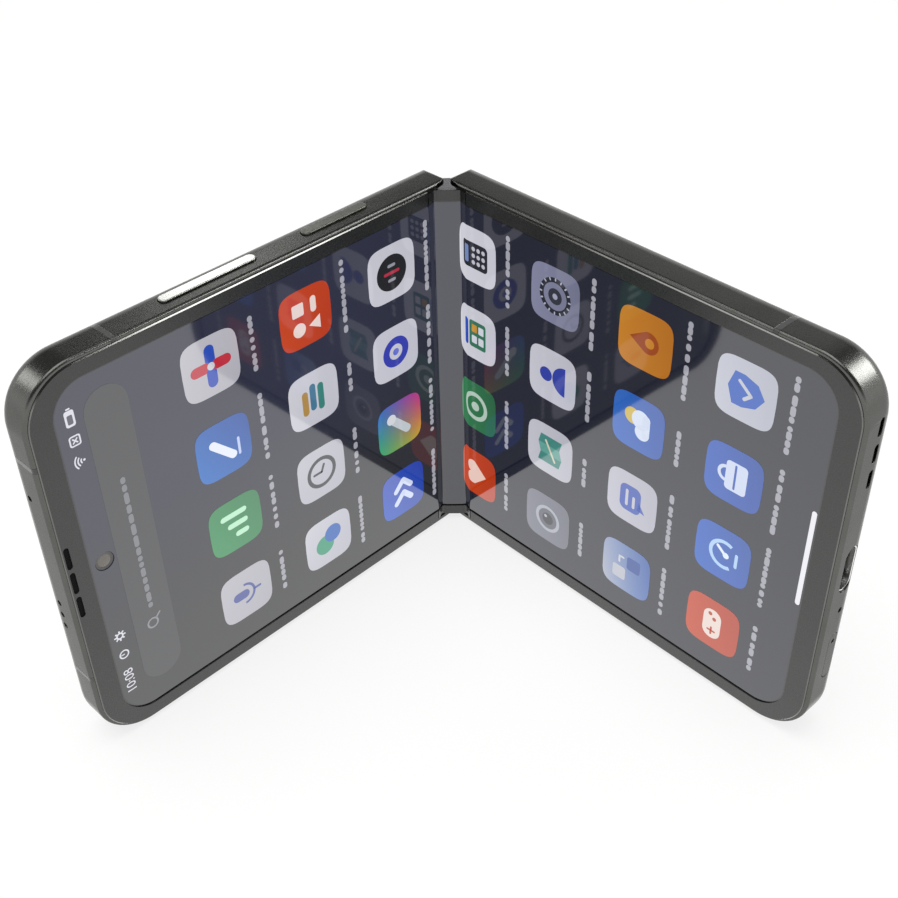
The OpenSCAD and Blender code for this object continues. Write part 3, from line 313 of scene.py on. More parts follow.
# fine spark-eroded mould grain, black and matt
moulded_black = grained("moulded_black_nylon", "#222225", "#17171a", 0.3, roughness=0.5)
# a thin gold flash over a drawn can
gold_plate = grained("gold_plated_can", "#c9b06a", "#ab9150", 0.2, metallic=1.0, roughness=0.3)
coat_nodes(battery_foil, "lower_battery", "upper_battery")
coat_nodes(solder_mask, "usb_board", "main_board")
coat_nodes(stamped_steel, "lower_screen_carrier", "upper_screen_carrier", "board_shields",
           "key_switches", "sim_reader", "vibration_motor")
coat_nodes(moulded_black, "loudspeaker", "earpiece", "lower_flex_socket", "upper_flex_socket",
           "rear_camera_modules")
coat_nodes(gold_plate, "lower_microphone")

# ---- Back covers ----------------------------------------------------------------------
# Toughened glass, etched to a satin and painted dark behind. It is bonded to the frame and
# rolls over into it with a curved edge.
etched_glass = grained("etched_dark_glass", "#43453f", "#3a3c37", 0.3, roughness=0.32,
                       spread=0.04, relief=0.1, blotch=30.0)
dressed_copy("lower_back_cover", "lower_back_glass", "lower_half", etched_glass, easing=0.05)
dressed_copy("upper_back_cover", "upper_back_glass", "upper_half", etched_glass, easing=0.05)


# ---- Flexible screen ------------------------------------------------------------------
# One sheet of lit film under a hard-coated plastic layer: a flat run on each half and a
# stretch over the fold, which bends with both. Sizes are in millimetres, as the part has them.
FOLD_ANGLE = math.radians(46)
AXIS_OUT, AXIS_BEHIND = 2.75, 2.45  # a half's hinge axis, from the fold line and the screen
STAND_Y = 25.63795                  # the screens' fold line lies this far back
WIDTH = 74
FILM = 0.35
FILM_INSET = 1.45
BEND = 6.0                          # the film is flat from here on
TURN_START, TURN_END = 1.5, 3.2     # between these, the film goes over from hinge to half
BEND_STEP = 0.1
LIT_END, LIT_SIDE, LIT_CORNER = 79.7, 33.45, 5.7
SCREEN_IOR = 1.6
SCREEN_BLACK = linear("#050507")
SCREEN_GLOSS = 0.05


def turned(flat, behind, share):
    """A point of a half drawn flat, turned about its axis by a share of the fold angle."""
    angle = FOLD_ANGLE * share
    x, y = flat - AXIS_OUT, behind - AXIS_BEHIND
    return (AXIS_OUT + x * math.cos(angle) + y * math.sin(angle),
            AXIS_BEHIND - x * math.sin(angle) + y * math.cos(angle))


def at_rest(flat, behind, width):
    """Where a point stands in metres: flat counts from the fold line, negative on the upper
    half, behind counts from the screen inwards, and width up from the lower long edge."""
    reach = abs(flat)
    low, high = (1.0 if reach >= BEND else 0.0), 1.0
    while high - low > 1e-7:
        share = (low + high) / 2
        run = (turned(reach, behind, share)[0] - TURN_START) / (TURN_END - TURN_START)
        run = min(max(run, 0.0), 1.0)
        if run * run * (3 - 2 * run) > share:
            low = share
        else:
            high = share
    x, y = turned(reach, behind, high)
    return Vector((math.copysign(x, flat), y + STAND_Y, width)) / 1000


def laid_flat(point):
    """The flat place, width and depth of a resting point, in millimetres, of either half."""
    x = abs(point.x) * 1000 - AXIS_OUT
    y = point.y * 1000 - STAND_Y - AXIS_BEHIND
    flat = AXIS_OUT + x * math.cos(FOLD_ANGLE) - y * math.sin(FOLD_ANGLE)
    behind = AXIS_BEHIND + x * math.sin(FOLD_ANGLE) + y * math.cos(FOLD_ANGLE)
    return math.copysign(flat, point.x), point.z * 1000, behind


# dark lit film: a deep blue glow that turns grey towards the search bar, under plastic that
# mirrors the other half, with the slight waves of a soft film
lit_film, tree = new_material("lit_film_under_hard_coat")
spot = add(tree, "UVMap", uv_map="flat_mm")
apart = add(tree, "SeparateXYZ", {0: spot.outputs[0]})
sky = add(tree, "MapRange", {"Value": apart.outputs["X"], "From Min": -30.0, "From Max": 20.0},
          interpolation_type="SMOOTHSTEP")
rise = add(tree, "MapRange", {"Value": apart.outputs["Y"], "From Min": 12.0, "From Max": 52.0},
           interpolation_type="SMOOTHSTEP")
upper_sky = add(tree, "Mix", {0: rise.outputs[0], 6: linear("#242527"), 7: linear("#25283c")},
                data_type="RGBA")
wallpaper = add(tree, "Mix", {0: sky.outputs[0], 6: upper_sky.outputs[2],
                              7: linear("#171a29")}, data_type="RGBA")
# the pixels end a little inside the bezel, with round corners: distance to that outline
along = add(tree, "Math", {0: apart.outputs["X"]}, operation="ABSOLUTE")
across = add(tree, "Math", {0: apart.outputs["Y"], 1: WIDTH / 2}, operation="SUBTRACT")
across = add(tree, "Math", {0: across.outputs[0]}, operation="ABSOLUTE")
past = [add(tree, "Math", {0: value.outputs[0], 1: limit}, operation="SUBTRACT")
        for value, limit in ((along, LIT_END - LIT_CORNER), (across, LIT_SIDE - LIT_CORNER))]
past = [add(tree, "Math", {0: value.outputs[0], 1: 0.0}, operation="MAXIMUM") for value in past]
reach = add(tree, "CombineXYZ", {"X": past[0].outputs[0], "Y": past[1].outputs[0]})
reach = add(tree, "VectorMath", {0: reach.outputs[0]}, operation="LENGTH")
lit = add(tree, "MapRange", {"Value": reach.outputs["Value"], "From Min": LIT_CORNER - 0.05,
                             "From Max": LIT_CORNER + 0.05, "To Min": 1.0, "To Max": 0.0})
wave = add(tree, "TexNoise", {"Vector": spot.outputs[0], "Scale": 0.05, "Detail": 0.0})
ripple = add(tree, "Bump", {"Strength": 0.25, "Distance": 0.0002,
                            "Height": wave.outputs["Fac"]})
shader = add(tree, "BsdfPrincipled", {"Base Color": SCREEN_BLACK, "Roughness": SCREEN_GLOSS,
                                      "IOR": SCREEN_IOR, "Emission Color": wallpaper.outputs[2],
                                      "Emission Strength": lit.outputs[0],
                                      "Normal": ripple.outputs[0]})
add(tree, "OutputMaterial", {"Surface": shader.outputs[0]})

for half in ("lower", "upper"):
    panel = dressed_copy(half + "_screen", half + "_screen_film", half + "_half", lit_film)
    flat_map = panel.data.uv_layers.new(name="flat_mm")
    for loop in panel.data.loops:
        place = panel.data.vertices[loop.vertex_index].co
        flat_map.data[loop.index].uv = laid_flat(place)[:2]


def bent_sheet(name, node, depths, widths, coat, ends=BEND):
    """A sheet over the fold in two pieces that meet in its middle. It spans depths behind the
    screen's face and widths up from the lower long edge, ends on either side of the fold line,
    and turns with the halves."""
    steps = round(ends / BEND_STEP)
    for half, side in (("lower", 1), ("upper", -1)):
        shape = bmesh.new()
        layer = shape.loops.layers.uv.new("flat_mm")
        front, back = ([[shape.verts.new(at_rest(side * ends * i / steps, depth, width))
                         for width in widths] for i in range(steps + 1)] for depth in depths)
        for i in range(steps):
            shape.faces.new((front[i][0], front[i + 1][0], front[i + 1][1], front[i][1]))
            shape.faces.new((back[i][0], back[i][1], back[i + 1][1], back[i + 1][0]))
            for j in (0, 1):
                shape.faces.new((front[i][j], back[i][j], back[i + 1][j], front[i + 1][j]))
        for i in (0, steps):
            shape.faces.new((front[i][0], front[i][1], back[i][1], back[i][0]))
        bmesh.ops.recalc_face_normals(shape, faces=shape.faces)
        flat_at = {vert: side * ends * i / steps for row in (front, back)
                   for i, pair in enumerate(row) for vert in pair}
        for face in shape.faces:
            face.smooth = abs(face.normal.z) < 0.5
            for loop in face.loops:
                loop[layer].uv = (flat_at[loop.vert], loop.vert.co.z * 1000)
        for edge in shape.edges:
            edge.smooth = edge.calc_face_angle(0) < math.radians(30)
        sheet = made_piece(half + name, shape, coat)
        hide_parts(node)
        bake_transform(sheet)


bent_sheet("_fold_film", "fold_screen", (0.0, FILM),
           (FILM_INSET, WIDTH - FILM_INSET), lit_film)


# ---- Screen bezels --------------------------------------------------------------------
# A soft rubber-like frame that is stuck round the film on each half, a hair above it, and
# keeps the halves apart when the phone is closed. Its outer edge has a bright trim, and soft
# caps carry it on over the film's edges at the fold.
HALF_LENGTH = 84.5
BODY_CORNER = 9.5
TRIM, INNER_EDGE = 0.16, 0.07
CAP_HEIGHT, CAP_START, CAP_END = 0.25, 1.2, 3.26


def inset_of(point):
    """How far a resting point lies inside the body's outline, seen from the front."""
    flat, width, _ = laid_flat(point)
    along = abs(flat) - (HALF_LENGTH - BODY_CORNER)
    across = abs(width - WIDTH / 2) - (WIDTH / 2 - BODY_CORNER)
    return BODY_CORNER - math.hypot(max(along, 0), max(across, 0)) - min(max(along, across), 0)


def bezel_edges(shape):
    """Breaks the outer front edge into a flat trim, the second coat, and rounds the inner."""
    for outer, wide, steps, coat in ((True, TRIM, 1, 1), (False, INNER_EDGE, 2, -1)):
        chosen = [edge for edge in shape.edges
                  if edge.is_manifold and edge.calc_face_angle(0) > math.radians(60)
                  and all(laid_flat(vert.co)[2] < -0.2 and (inset_of(vert.co) < 1) == outer
                          for vert in edge.verts)]
        bmesh.ops.bevel(shape, geom=chosen, offset=wide / 1000, offset_type="OFFSET",
                        segments=steps, profile=0.5, affect="EDGES", clamp_overlap=False,
                        material=coat)


# filled soft rubber with a silky face, which mirrors less than hard plastic
soft_rubber = grained("soft_bezel_rubber", "#20211f", "#191a18", 0.25, roughness=0.3,
                      spread=0.05, relief=0.2, ior=1.43)
# a metallised lacquer line, smooth enough to glint along the edge
bright_trim = grained("bright_bezel_trim", "#5a5a58", "#50504e", 0.2, metallic=1.0,
                      roughness=0.14, spread=0.02, relief=0.05)
for half in ("lower", "upper"):
    dressed_copy(half + "_bezel", half + "_bezel_frame", half + "_half", soft_rubber,
                 bright_trim, trim=bezel_edges)
bent_sheet("_cap_below", "fold_caps", (-CAP_HEIGHT, 0.0),
           (CAP_START, CAP_END), soft_rubber)
bent_sheet("_cap_above", "fold_caps", (-CAP_HEIGHT, 0.0),
           (WIDTH - CAP_END, WIDTH - CAP_START), soft_rubber)

# ---- Flexible cable -------------------------------------------------------------------
# Copper tracks in two layers of polyimide film, which shows amber with a slight gloss. It
# crosses behind the screen, from one half's board to the other's, and bends with the film.
CABLE_DEPTHS, CABLE_WIDTHS, CABLE_REACH = (1.5, 1.65), (20, 27), 13
polyimide = grained("polyimide_flex_film", "#a8642e", "#8a4d20", 0.4, roughness=0.35)
bent_sheet("_cable_film", "flex_cable", CABLE_DEPTHS, CABLE_WIDTHS, polyimide,
           ends=CABLE_REACH)

# ---- Picture on the screen ------------------------------------------------------------
# Plain signs in a home screen's layout: rounded tiles in four columns, a search bar, a clock
# and a bar to swipe. Each patch is lit pixels in the film, placed in millimetres from the
# fold line and up from the lower long edge.
LAYER_LIFT, PART_LIFT = 0.02, 0.25  # a layer in millimetres, and a part in layers
pixels, tree = new_material("lit_pixels_under_hard_coat")
glow_colour = add(tree, "Attribute", attribute_name="glow")
shader = add(tree, "BsdfPrincipled", {"Base Color": SCREEN_BLACK, "Roughness": SCREEN_GLOSS,
                                      "IOR": SCREEN_IOR, "Emission Strength": 1.0,
                                      "Emission Color": glow_colour.outputs["Color"]})
add(tree, "OutputMaterial", {"Surface": shader.outputs[0]})

picture = bmesh.new()
glow_layer = picture.loops.layers.float_color.new("glow")


def patch(place, points, colours, layer):
    """One patch of lit pixels: points right of and above place, which is a flat place and a
    width. colours is one hex colour, or one for each point, and layer lifts it off the film."""
    if isinstance(colours, str):
        colours = [colours] * len(points)
    face = picture.faces.new([picture.verts.new((place[0] - y, place[1] + x, LAYER_LIFT * layer))
                              for x, y in points])
    for loop, colour in zip(face.loops, colours):
        loop[glow_layer] = linear(colour)


def draw(place, parts, layer):
    """Patches for a list of outlines with their colours. Each change of colour lies a hair
    above the one before, so that no two colours share a plane."""
    rank, last = 0, parts[0][1]
    for points, colour in parts:
        rank += colour != last
        last = colour
        patch(place, points, colour, layer + PART_LIFT * rank)


def blended(first, second, share):
    """A hex colour between two others."""
    pairs = [(int(first[i:i + 2], 16), int(second[i:i + 2], 16)) for i in (1, 3, 5)]
    return "#" + "".join(f"{round(a + (b - a) * share):02x}" for a, b in pairs)


def round_points(x, y, radius, start=0, end=360, steps=30):
    """Points on a circle or an arc, its angles in degrees."""
    last = steps if end - start >= 360 else steps - 1
    return [(x + radius * math.cos(math.radians(start + (end - start) * i / last)),
             y + radius * math.sin(math.radians(start + (end - start) * i / last)))
            for i in range(steps)]


def round_ended(x0, y0, x1, y1, wide):
    """The outline of a straight bar with round ends."""
    turn = math.degrees(math.atan2(y1 - y0, x1 - x0))
    return (round_points(x1, y1, wide / 2, turn - 90, turn + 90, 8)
            + round_points(x0, y0, wide / 2, turn + 90, turn + 270, 8))


def disc(x, y, radius, colour):
    return [(round_points(x, y, radius), colour)]


def ring(x, y, radius, wide, colour, start=0, end=360):
    steps = max(int((end - start) / 12), 3)
    bands = []
    for i in range(steps):
        a, b = (math.radians(start + (end - start) * k / steps) for k in (i, i + 1))
        inner, outer = radius - wide / 2, radius + wide / 2
        bands.append(([(x + inner * math.cos(a), y + inner * math.sin(a)),
                       (x + outer * math.cos(a), y + outer * math.sin(a)),
                       (x + outer * math.cos(b), y + outer * math.sin(b)),
                       (x + inner * math.cos(b), y + inner * math.sin(b))], colour))
    return bands


def bar(x0, y0, x1, y1, wide, colour):
    return [(round_ended(x0, y0, x1, y1, wide), colour)]


def block(x0, y0, x1, y1, corner, colour):
    return [(round_points(x1 - corner, y1 - corner, corner, 0, 90, 6)
             + round_points(x0 + corner, y1 - corner, corner, 90, 180, 6)
             + round_points(x0 + corner, y0 + corner, corner, 180, 270, 6)
             + round_points(x1 - corner, y0 + corner, corner, 270, 360, 6), colour)]


def shape_of(points, colour):
    return [(points, colour)]


def around(count, make):
    """The shapes that make gives for each of count angles round the middle."""
    return [part for i in range(count) for part in make(math.radians(360 * i / count), i)]


TILE = 10.7
TILE_ROWS, TILE_STRIPS = 22, 4
SQUARENESS = 4.6


def tile(place, corners):
    """A rounded tile in strips, its colour running between the colours of its corners: upper
    left, upper right, lower left, lower right."""
    half = TILE / 2

    def width_at(y):
        return half * (1 - min(abs(y) / half, 1.0) ** SQUARENESS) ** (1 / SQUARENESS)

    levels = [half * math.sin(math.pi * (i / TILE_ROWS - 0.5)) for i in range(TILE_ROWS + 1)]
    for low, high in zip(levels, levels[1:]):
        for k in range(TILE_STRIPS):
            points, tones = [], []
            for y, edge in ((low, k), (low, k + 1), (high, k + 1), (high, k)):
                across = edge / TILE_STRIPS
                points.append(((2 * across - 1) * max(width_at(y), 0.02), y))
                rise = (y + half) / TILE
                tones.append(blended(blended(corners[2], corners[3], across),
                                     blended(corners[0], corners[1], across), rise))
            patch(place, points, tones, 1)


dash = random.Random(7)
SHORTEST_DASH, DASH_MARGIN = 0.5, 0.4


def dashes(place, start, end, overhang, lengths, gaps, wide, colour, layer):
    """A line of plain dashes of uneven length, in place of words: no letters."""
    spot = start
    while spot < end - SHORTEST_DASH:
        long = min(dash.uniform(*lengths), end + overhang - spot)
        draw(place, bar(spot + DASH_MARGIN, 0, spot + long - DASH_MARGIN, 0, wide, colour), layer)
        spot += long + dash.choice(gaps)


WHITE = "#c3c3cd"
ROWS = (-53.0, -34.0, -15.0, 7.7, 26.7, 45.7, 64.7)
COLUMNS = (61.7, 45.7, 29.7, 13.7)
# for each tile, the length of its name, the colours of its corners and its sign
SIGNS = [
    # row nearest the search bar
    (10, ("#b4b3bb", "#b8b7bf", "#aaa9b2", "#aeadb6"),
     around(4, lambda a, i: bar(1.1 * math.cos(a), 1.1 * math.sin(a), 2.9 * math.cos(a),
                                2.9 * math.sin(a), 1.9, ("#2147af", "#b82537")[i % 2]))
     + disc(0, 0, 0.7, WHITE)),
    (13.4, ("#1d6cbc", "#1a60b0", "#1459a8", "#12489a"),
     bar(-2.0, -1.6, 1.6, 2.0, 1.5, "#dfe4f2") + bar(-2.4, -2.9, 0.6, -2.9, 0.5, "#b9c6ea")),
    (12, ("#338f58", "#2e8752", "#2b804d", "#267847"),
     bar(-2.2, -1.9, -2.2, -0.2, 1.1, "#b5e6c4") + bar(0, -1.9, 0, 1.2, 1.1, "#b5e6c4")
     + bar(2.2, -1.9, 2.2, 2.4, 1.1, "#b5e6c4")),
    (9, ("#b0afb8", "#b4b3bb", "#a8a7b0", "#adacb5"),
     bar(0, 0.4, 0, 2.0, 1.9, "#4a5596") + ring(0, 0.5, 2.1, 0.5, "#4a5596", 180, 360)
     + bar(0, -1.8, 0, -2.9, 0.5, "#4a5596")),
    # middle row of the upper half
    (13.6, ("#c24115", "#bf3b0f", "#b03108", "#b5370c"),
     disc(-1.9, 1.5, 1.3, "#e2cfca") + block(0.6, 0.3, 3.0, 2.7, 0.3, "#e2cfca")
     + shape_of([(-3.2, -2.9), (-0.6, -2.9), (-1.9, -0.5)], "#e2cfca")
     + bar(0.9, -1.7, 2.7, -1.7, 1.2, "#e2cfca")),
    (5.6, (WHITE, "#c8c8d1", "#b9b9c4", "#bebec8"),
     bar(-2.2, 1.9, 1.4, 1.9, 1.3, "#a98445") + bar(-1.8, 0.2, 2.3, 0.2, 1.3, "#3c6f8c")
     + bar(-2.3, -1.5, 1.8, -1.5, 1.3, "#2f7a72")),
    (10, ("#b5b5bf", "#bbbbc4", "#aeaeb9", "#b3b3bd"),
     ring(0, 0, 2.9, 0.75, "#33363c") + bar(0, 0, 0, 1.7, 0.5, "#33363c")
     + bar(0, 0, 1.4, -0.6, 0.5, "#33363c")),
    (11.8, ("#b9b9c2", WHITE, "#b2b2bd", "#b7b7c2"),
     disc(-0.7, 0.9, 2.1, "#309372") + disc(1.1, -1.1, 1.9, "#2761af")),
    # row of the upper half beside the fold
    (14, (WHITE, "#c0c0ca", "#bebec8", "#babac4"),
     disc(0, 0, 3.4, "#17181c") + bar(-1.4, -0.6, -1.4, 0.6, 0.6, "#8d8e98")
     + bar(0, -1.5, 0, 1.5, 0.6, "#ac273f") + bar(1.4, -0.6, 1.4, 0.6, 0.6, "#8d8e98")),
    (13, (WHITE, "#c0c0cc", "#b9b9c6", "#bbbbc6"),
     ring(0, 0, 2.3, 1.5, "#2e38a5") + disc(0, 0, 0.7, "#5b67c6")),
    (12, ("#3aa06c", "#2a6fbe", "#be9327", "#b6287e"),
     bar(-1.8, -1.8, 1.3, 1.3, 1.7, "#bac2c8") + disc(2.0, 2.0, 1.1, "#ced2d8")),
    (11.6, ("#2a5bbe", "#2b4eb6", "#2246a7", "#1e38a0"),
     bar(-2.2, -1.9, -0.2, 0, 1.2, "#c9d3ea") + bar(-2.2, 1.9, -0.2, 0, 1.2, "#c9d3ea")
     + bar(0.8, -1.9, 2.8, 0, 1.2, "#c9d3ea") + bar(0.8, 1.9, 2.8, 0, 1.2, "#c9d3ea")),
    # row that runs over the fold
    (13.8, ("#ccccd5", "#cacad3", "#c2c2cd", "#bfbfca"),
     block(-2.5, -3.3, 2.5, 3.3, 0.8, "#1e2028") + block(-1.7, 1.3, 1.7, 2.5, 0.3, "#6f83b4")
     + [key for x in (-1.3, 0, 1.3) for y in (-2.3, -1.1, 0.1)
        for key in disc(x, y, 0.42, "#b9b9c4")]),
    (10, ("#cacad3", "#c8c8d1", "#c0c0cc", "#bebec8"),
     block(-2.8, -2.8, 2.8, 1.3, 0.5, "#2b6a50") + block(-2.8, 1.6, 2.8, 2.9, 0.5, "#1b44ab")
     + block(-1.9, -0.6, -0.3, 0.7, 0.2, "#c8ccd5") + block(0.4, -0.6, 2.0, 0.7, 0.2, "#bf8925")
     + block(-1.9, -2.3, -0.3, -1.0, 0.2, "#c8ccd5")
     + block(0.4, -2.3, 2.0, -1.0, 0.2, "#c8ccd5")),
    (11, ("#237646", "#237646", "#24643f", "#1f5c3a"),
     ring(0, 0, 2.7, 0.9, "#abbfb3") + disc(0, 0, 1.0, "#abbfb3")),
    (9, ("#c2400f", "#bf3c0d", "#af3208", "#af3208"),
     shape_of([(0, -2.7), (2.7, 0.3)] + round_points(1.35, 0.9, 1.45, -20, 160, 9)
              + round_points(-1.35, 0.9, 1.45, 20, 200, 9) + [(-2.7, 0.3)], "#e4c3b8")),
    # second row of the lower half
    (13.4, ("#7d7f9a", "#7d7f9a", "#6e7088", "#6a6c84"),
     ring(0, 0, 3.0, 0.9, "#1d1f28") + around(16, lambda a, i: bar(
         3.0 * math.cos(a), 3.0 * math.sin(a), 3.3 * math.cos(a), 3.3 * math.sin(a), 0.3,
         "#a8aabd")) + disc(0, 0, 1.5, "#2a2c38") + disc(0, 0, 0.55, "#9a9cb4")),
    (10.4, ("#c0c0cc", "#bebec8", "#b5b5c2", "#b2b2bd"),
     disc(0, 1.5, 1.4, "#27389a")
     + shape_of(round_points(0, -2.9, 2.9, 0, 180, 20), "#27389a")),
    (7, ("#bebec8", "#babac4", "#b2b2bd", "#aeaeb9"),
     shape_of([(-3.0, -2.2), (-1.0, -2.8), (-1.0, 2.2), (-3.0, 2.8)], "#3d7f78")
     + shape_of([(-1.0, -2.8), (1.0, -2.2), (1.0, 2.8), (-1.0, 2.2)], "#5b9a90")
     + shape_of([(1.0, -2.2), (3.0, -2.8), (3.0, 2.2), (1.0, 2.8)], "#3d7f78")
     + bar(-2.0, -1.2, 1.9, 1.0, 0.45, "#c9c6b0")),
    (8, ("#787a88", "#747684", "#6a6c78", "#666874"),
     disc(0, 0, 2.9, "#5b5d68") + ring(0, 0, 2.6, 0.7, "#a2a4b0") + disc(0, 0, 1.3, "#2a2c34")
     + disc(0.5, 0.5, 0.35, "#aaacb7")),
    # third row
    (14, ("#bf7b1e", "#bc771a", "#af6a13", "#ab660f"),
     shape_of(round_points(0, -0.7, 2.0, -200, 20, 16) + [(0, 3.1)], "#94410a")
     + disc(0, -0.9, 0.9, "#bf7b1e")),
    (8.2, ("#2b64ba", "#2860b6", "#2254a7", "#1e4ea0"),
     disc(1.2, 1.3, 1.6, "#c6ac46") + disc(-1.3, -0.9, 1.5, "#ccd6e8")
     + disc(1.0, -0.5, 1.9, "#ccd6e8") + bar(-1.5, -1.6, 1.6, -1.6, 1.6, "#ccd6e8")),
    (12, ("#babac6", "#b7b7c2", "#aeaebb", "#ababb7"),
     block(-2.8, -1.9, 2.8, 2.6, 1.3, "#3b59ab")
     + shape_of([(-1.9, -2.9), (0.2, -1.5), (-1.6, -1.2)], "#3b59ab")
     + bar(-1.5, 1.1, 1.5, 1.1, 0.6, "#babac6") + bar(-1.5, -0.4, 0.5, -0.4, 0.6, "#babac6")),
    (11, ("#a9adbc", "#8f9ab8", "#4b6aab", "#345aa0"),
     block(-3.0, 0.1, -0.1, 3.0, 0.5, "#b3b6c0") + block(0.1, -3.0, 3.0, -0.1, 0.5, "#2a4d94")
     + bar(0.9, 1.6, 2.2, 1.6, 0.45, "#c0c3cc") + bar(2.2, 1.6, 2.2, 0.7, 0.45, "#c0c3cc")),
    # last row, at the charging port's end
    (14, ("#babdc8", "#b7bac6", "#aeb1bd", "#aaadb9"),
     shape_of([(0, -3.4), (2.1, -2.0), (2.9, 0.4), (2.9, 2.2), (0, 3.2), (-2.9, 2.2),
               (-2.9, 0.4), (-2.1, -2.0)], "#2458b3")
     + bar(-1.3, 0.1, -0.3, -1.0, 0.6, "#babdc8") + bar(-0.3, -1.0, 1.5, 1.2, 0.6, "#babdc8")),
    (13.2, ("#285cb6", "#2658b3", "#224da3", "#1f4a9c"),
     block(-2.8, -2.5, 2.8, 1.5, 0.7, "#c6d0e6") + ring(0, 1.4, 1.3, 0.6, "#c6d0e6", 0, 180)
     + bar(-2.2, -0.3, 2.2, -0.3, 0.4, "#2755ab")),
    (12.4, ("#2b62be", "#295eb8", "#2454a9", "#2250a0"),
     ring(0, -0.3, 2.6, 0.7, "#a8c8ea", -30, 210) + bar(0, -0.6, 1.3, 1.0, 0.6, "#dbe4f2")
     + disc(0, -0.7, 0.6, "#dbe4f2") + bar(-1.2, -2.7, 1.2, -2.7, 0.6, "#a8c8ea")),
    (10, ("#bf4315", "#bc3f11", "#af360b", "#ab3209"),
     block(-3.2, -1.7, 3.2, 1.9, 1.7, "#e0cfc8") + bar(-2.3, 0.1, -0.9, 0.1, 0.4, "#af360b")
     + bar(-1.6, -0.6, -1.6, 0.8, 0.4, "#af360b") + disc(1.2, -0.3, 0.4, "#af360b")
     + disc(2.1, 0.6, 0.4, "#af360b")),
]
NAME_DROP = 8.15
for (row, column), (length, corners, sign) in zip(
        ((row, column) for row in ROWS for column in COLUMNS), SIGNS):
    tile((row, column), corners)
    draw((row, column), sign, 2)
    dashes((row + NAME_DROP, column), -length / 2, length / 2, 0.0, (0.7, 1.8),
           (0.15, 0.15, 0.7), 0.95, "#9c9ca6", 1)

# search bar with a magnifier, and dashes in place of its hint
SEARCH_BAR = (-71.45, 37.75)
draw(SEARCH_BAR, block(-29.8, -3.75, 29.8, 3.75, 3.7, "#393a3c"), 1)
draw(SEARCH_BAR, ring(-17.6, 0.25, 0.95, 0.34, "#84858c")
     + bar(-16.9, -0.5, -16.1, -1.3, 0.34, "#84858c"), 2)
dashes(SEARCH_BAR, -14.2, 13.5, 2.2, (0.9, 2.2), (0.3, 0.3, 1.0), 0.9, "#77787e", 2)

# signs beside the camera: an alarm, a cog, a battery, a closed box and radio waves
PALE = "#d4d4de"
BATTERY = (-77.3, 65.0)
for place, parts in (
        ((-77.9, 17.4), ring(0, 0, 0.8, 0.26, PALE) + bar(0, 0, 0, 0.5, 0.22, PALE)),
        ((-77.9, 21.6), ring(0, 0, 0.55, 0.3, PALE) + around(8, lambda a, i: bar(
            0.75 * math.cos(a), 0.75 * math.sin(a), 0.95 * math.cos(a), 0.95 * math.sin(a),
            0.3, PALE))),
        (BATTERY, block(-1.5, -0.8, 1.3, 0.8, 0.4, PALE)
         + block(1.42, -0.35, 1.7, 0.35, 0.1, PALE)),
        ((-77.3, 61.0), block(-0.95, -0.95, 0.95, 0.95, 0.4, PALE)
         + block(-0.7, -0.7, 0.7, 0.7, 0.2, "#3c3e4c")
         + bar(-0.35, -0.35, 0.35, 0.35, 0.24, PALE)
         + bar(-0.35, 0.35, 0.35, -0.35, 0.24, PALE)),
        ((-77.3, 57.2), ring(0, -0.7, 0.55, 0.24, PALE, 45, 135)
         + ring(0, -0.7, 1.05, 0.24, PALE, 45, 135) + ring(0, -0.7, 1.55, 0.24, PALE, 45, 135)
         + disc(0, -0.7, 0.2, PALE))):
    draw(place, parts, 1)
draw(BATTERY, block(-1.1, -0.45, 0.5, 0.45, 0.2, "#4a4c5a"), 2)

# the bar to swipe, at the charging port's end
draw((79.2, 38.0), bar(-9.1, 0, 9.1, 0, 0.85, "#e2e2e8"), 1)

# plain clock digits, drawn as text and then flattened to a mesh
clock = bpy.data.curves.new("clock_digits", "FONT")
clock.body = "10:08"
clock.size = 2.5
clock.align_x = "CENTER"
clock.align_y = "CENTER"
clock_object = bpy.data.objects.new("clock_digits", clock)
bpy.context.scene.collection.objects.link(clock_object)
digits = bpy.data.meshes.new_from_object(
    clock_object.evaluated_get(bpy.context.evaluated_depsgraph_get()))
draw((-77.9, 11.2), [([tuple(digits.vertices[k].co[:2]) for k in polygon.vertices], PALE)
                     for polygon in digits.polygons], 1)
bpy.data.objects.remove(clock_object)

# the picture bends with the film, so it is cut across in short steps near the fold
CUT_STEP = 0.25
PICTURE_END = 90
for i in range(round(2 * BEND / CUT_STEP) + 1):
    bmesh.ops.bisect_plane(picture, geom=picture.verts[:] + picture.edges[:] + picture.faces[:],
                           dist=1e-5, plane_co=(i * CUT_STEP - BEND, 0, 0), plane_no=(1, 0, 0))
for name, half, slot_name, low, high in (
        ("upper_picture", "upper", "screen_film", -PICTURE_END, -BEND),
        ("lower_fold_picture", "lower", "fold_film", 0, BEND),
        ("lower_picture", "lower", "screen_film", BEND, PICTURE_END)):
    part = picture.copy()
    bmesh.ops.delete(part, context="FACES", geom=[
        face for face in part.faces if not low < face.calc_center_median().x < high])
    for vert in part.verts:
        vert.co = at_rest(vert.co.x, -vert.co.z, vert.co.y)
    side = -1 if half == "upper" else 1
    outwards = Vector((-side * math.sin(FOLD_ANGLE), -math.cos(FOLD_ANGLE), 0))
    part.normal_update()
    bmesh.ops.reverse_faces(part, faces=[f for f in part.faces if f.normal.dot(outwards) < 0])
    lit = made_piece(name, part, pixels)
    if slot_name == "fold_film":
        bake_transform(lit)
    else:
        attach(lit, half + "_half")
picture.free()
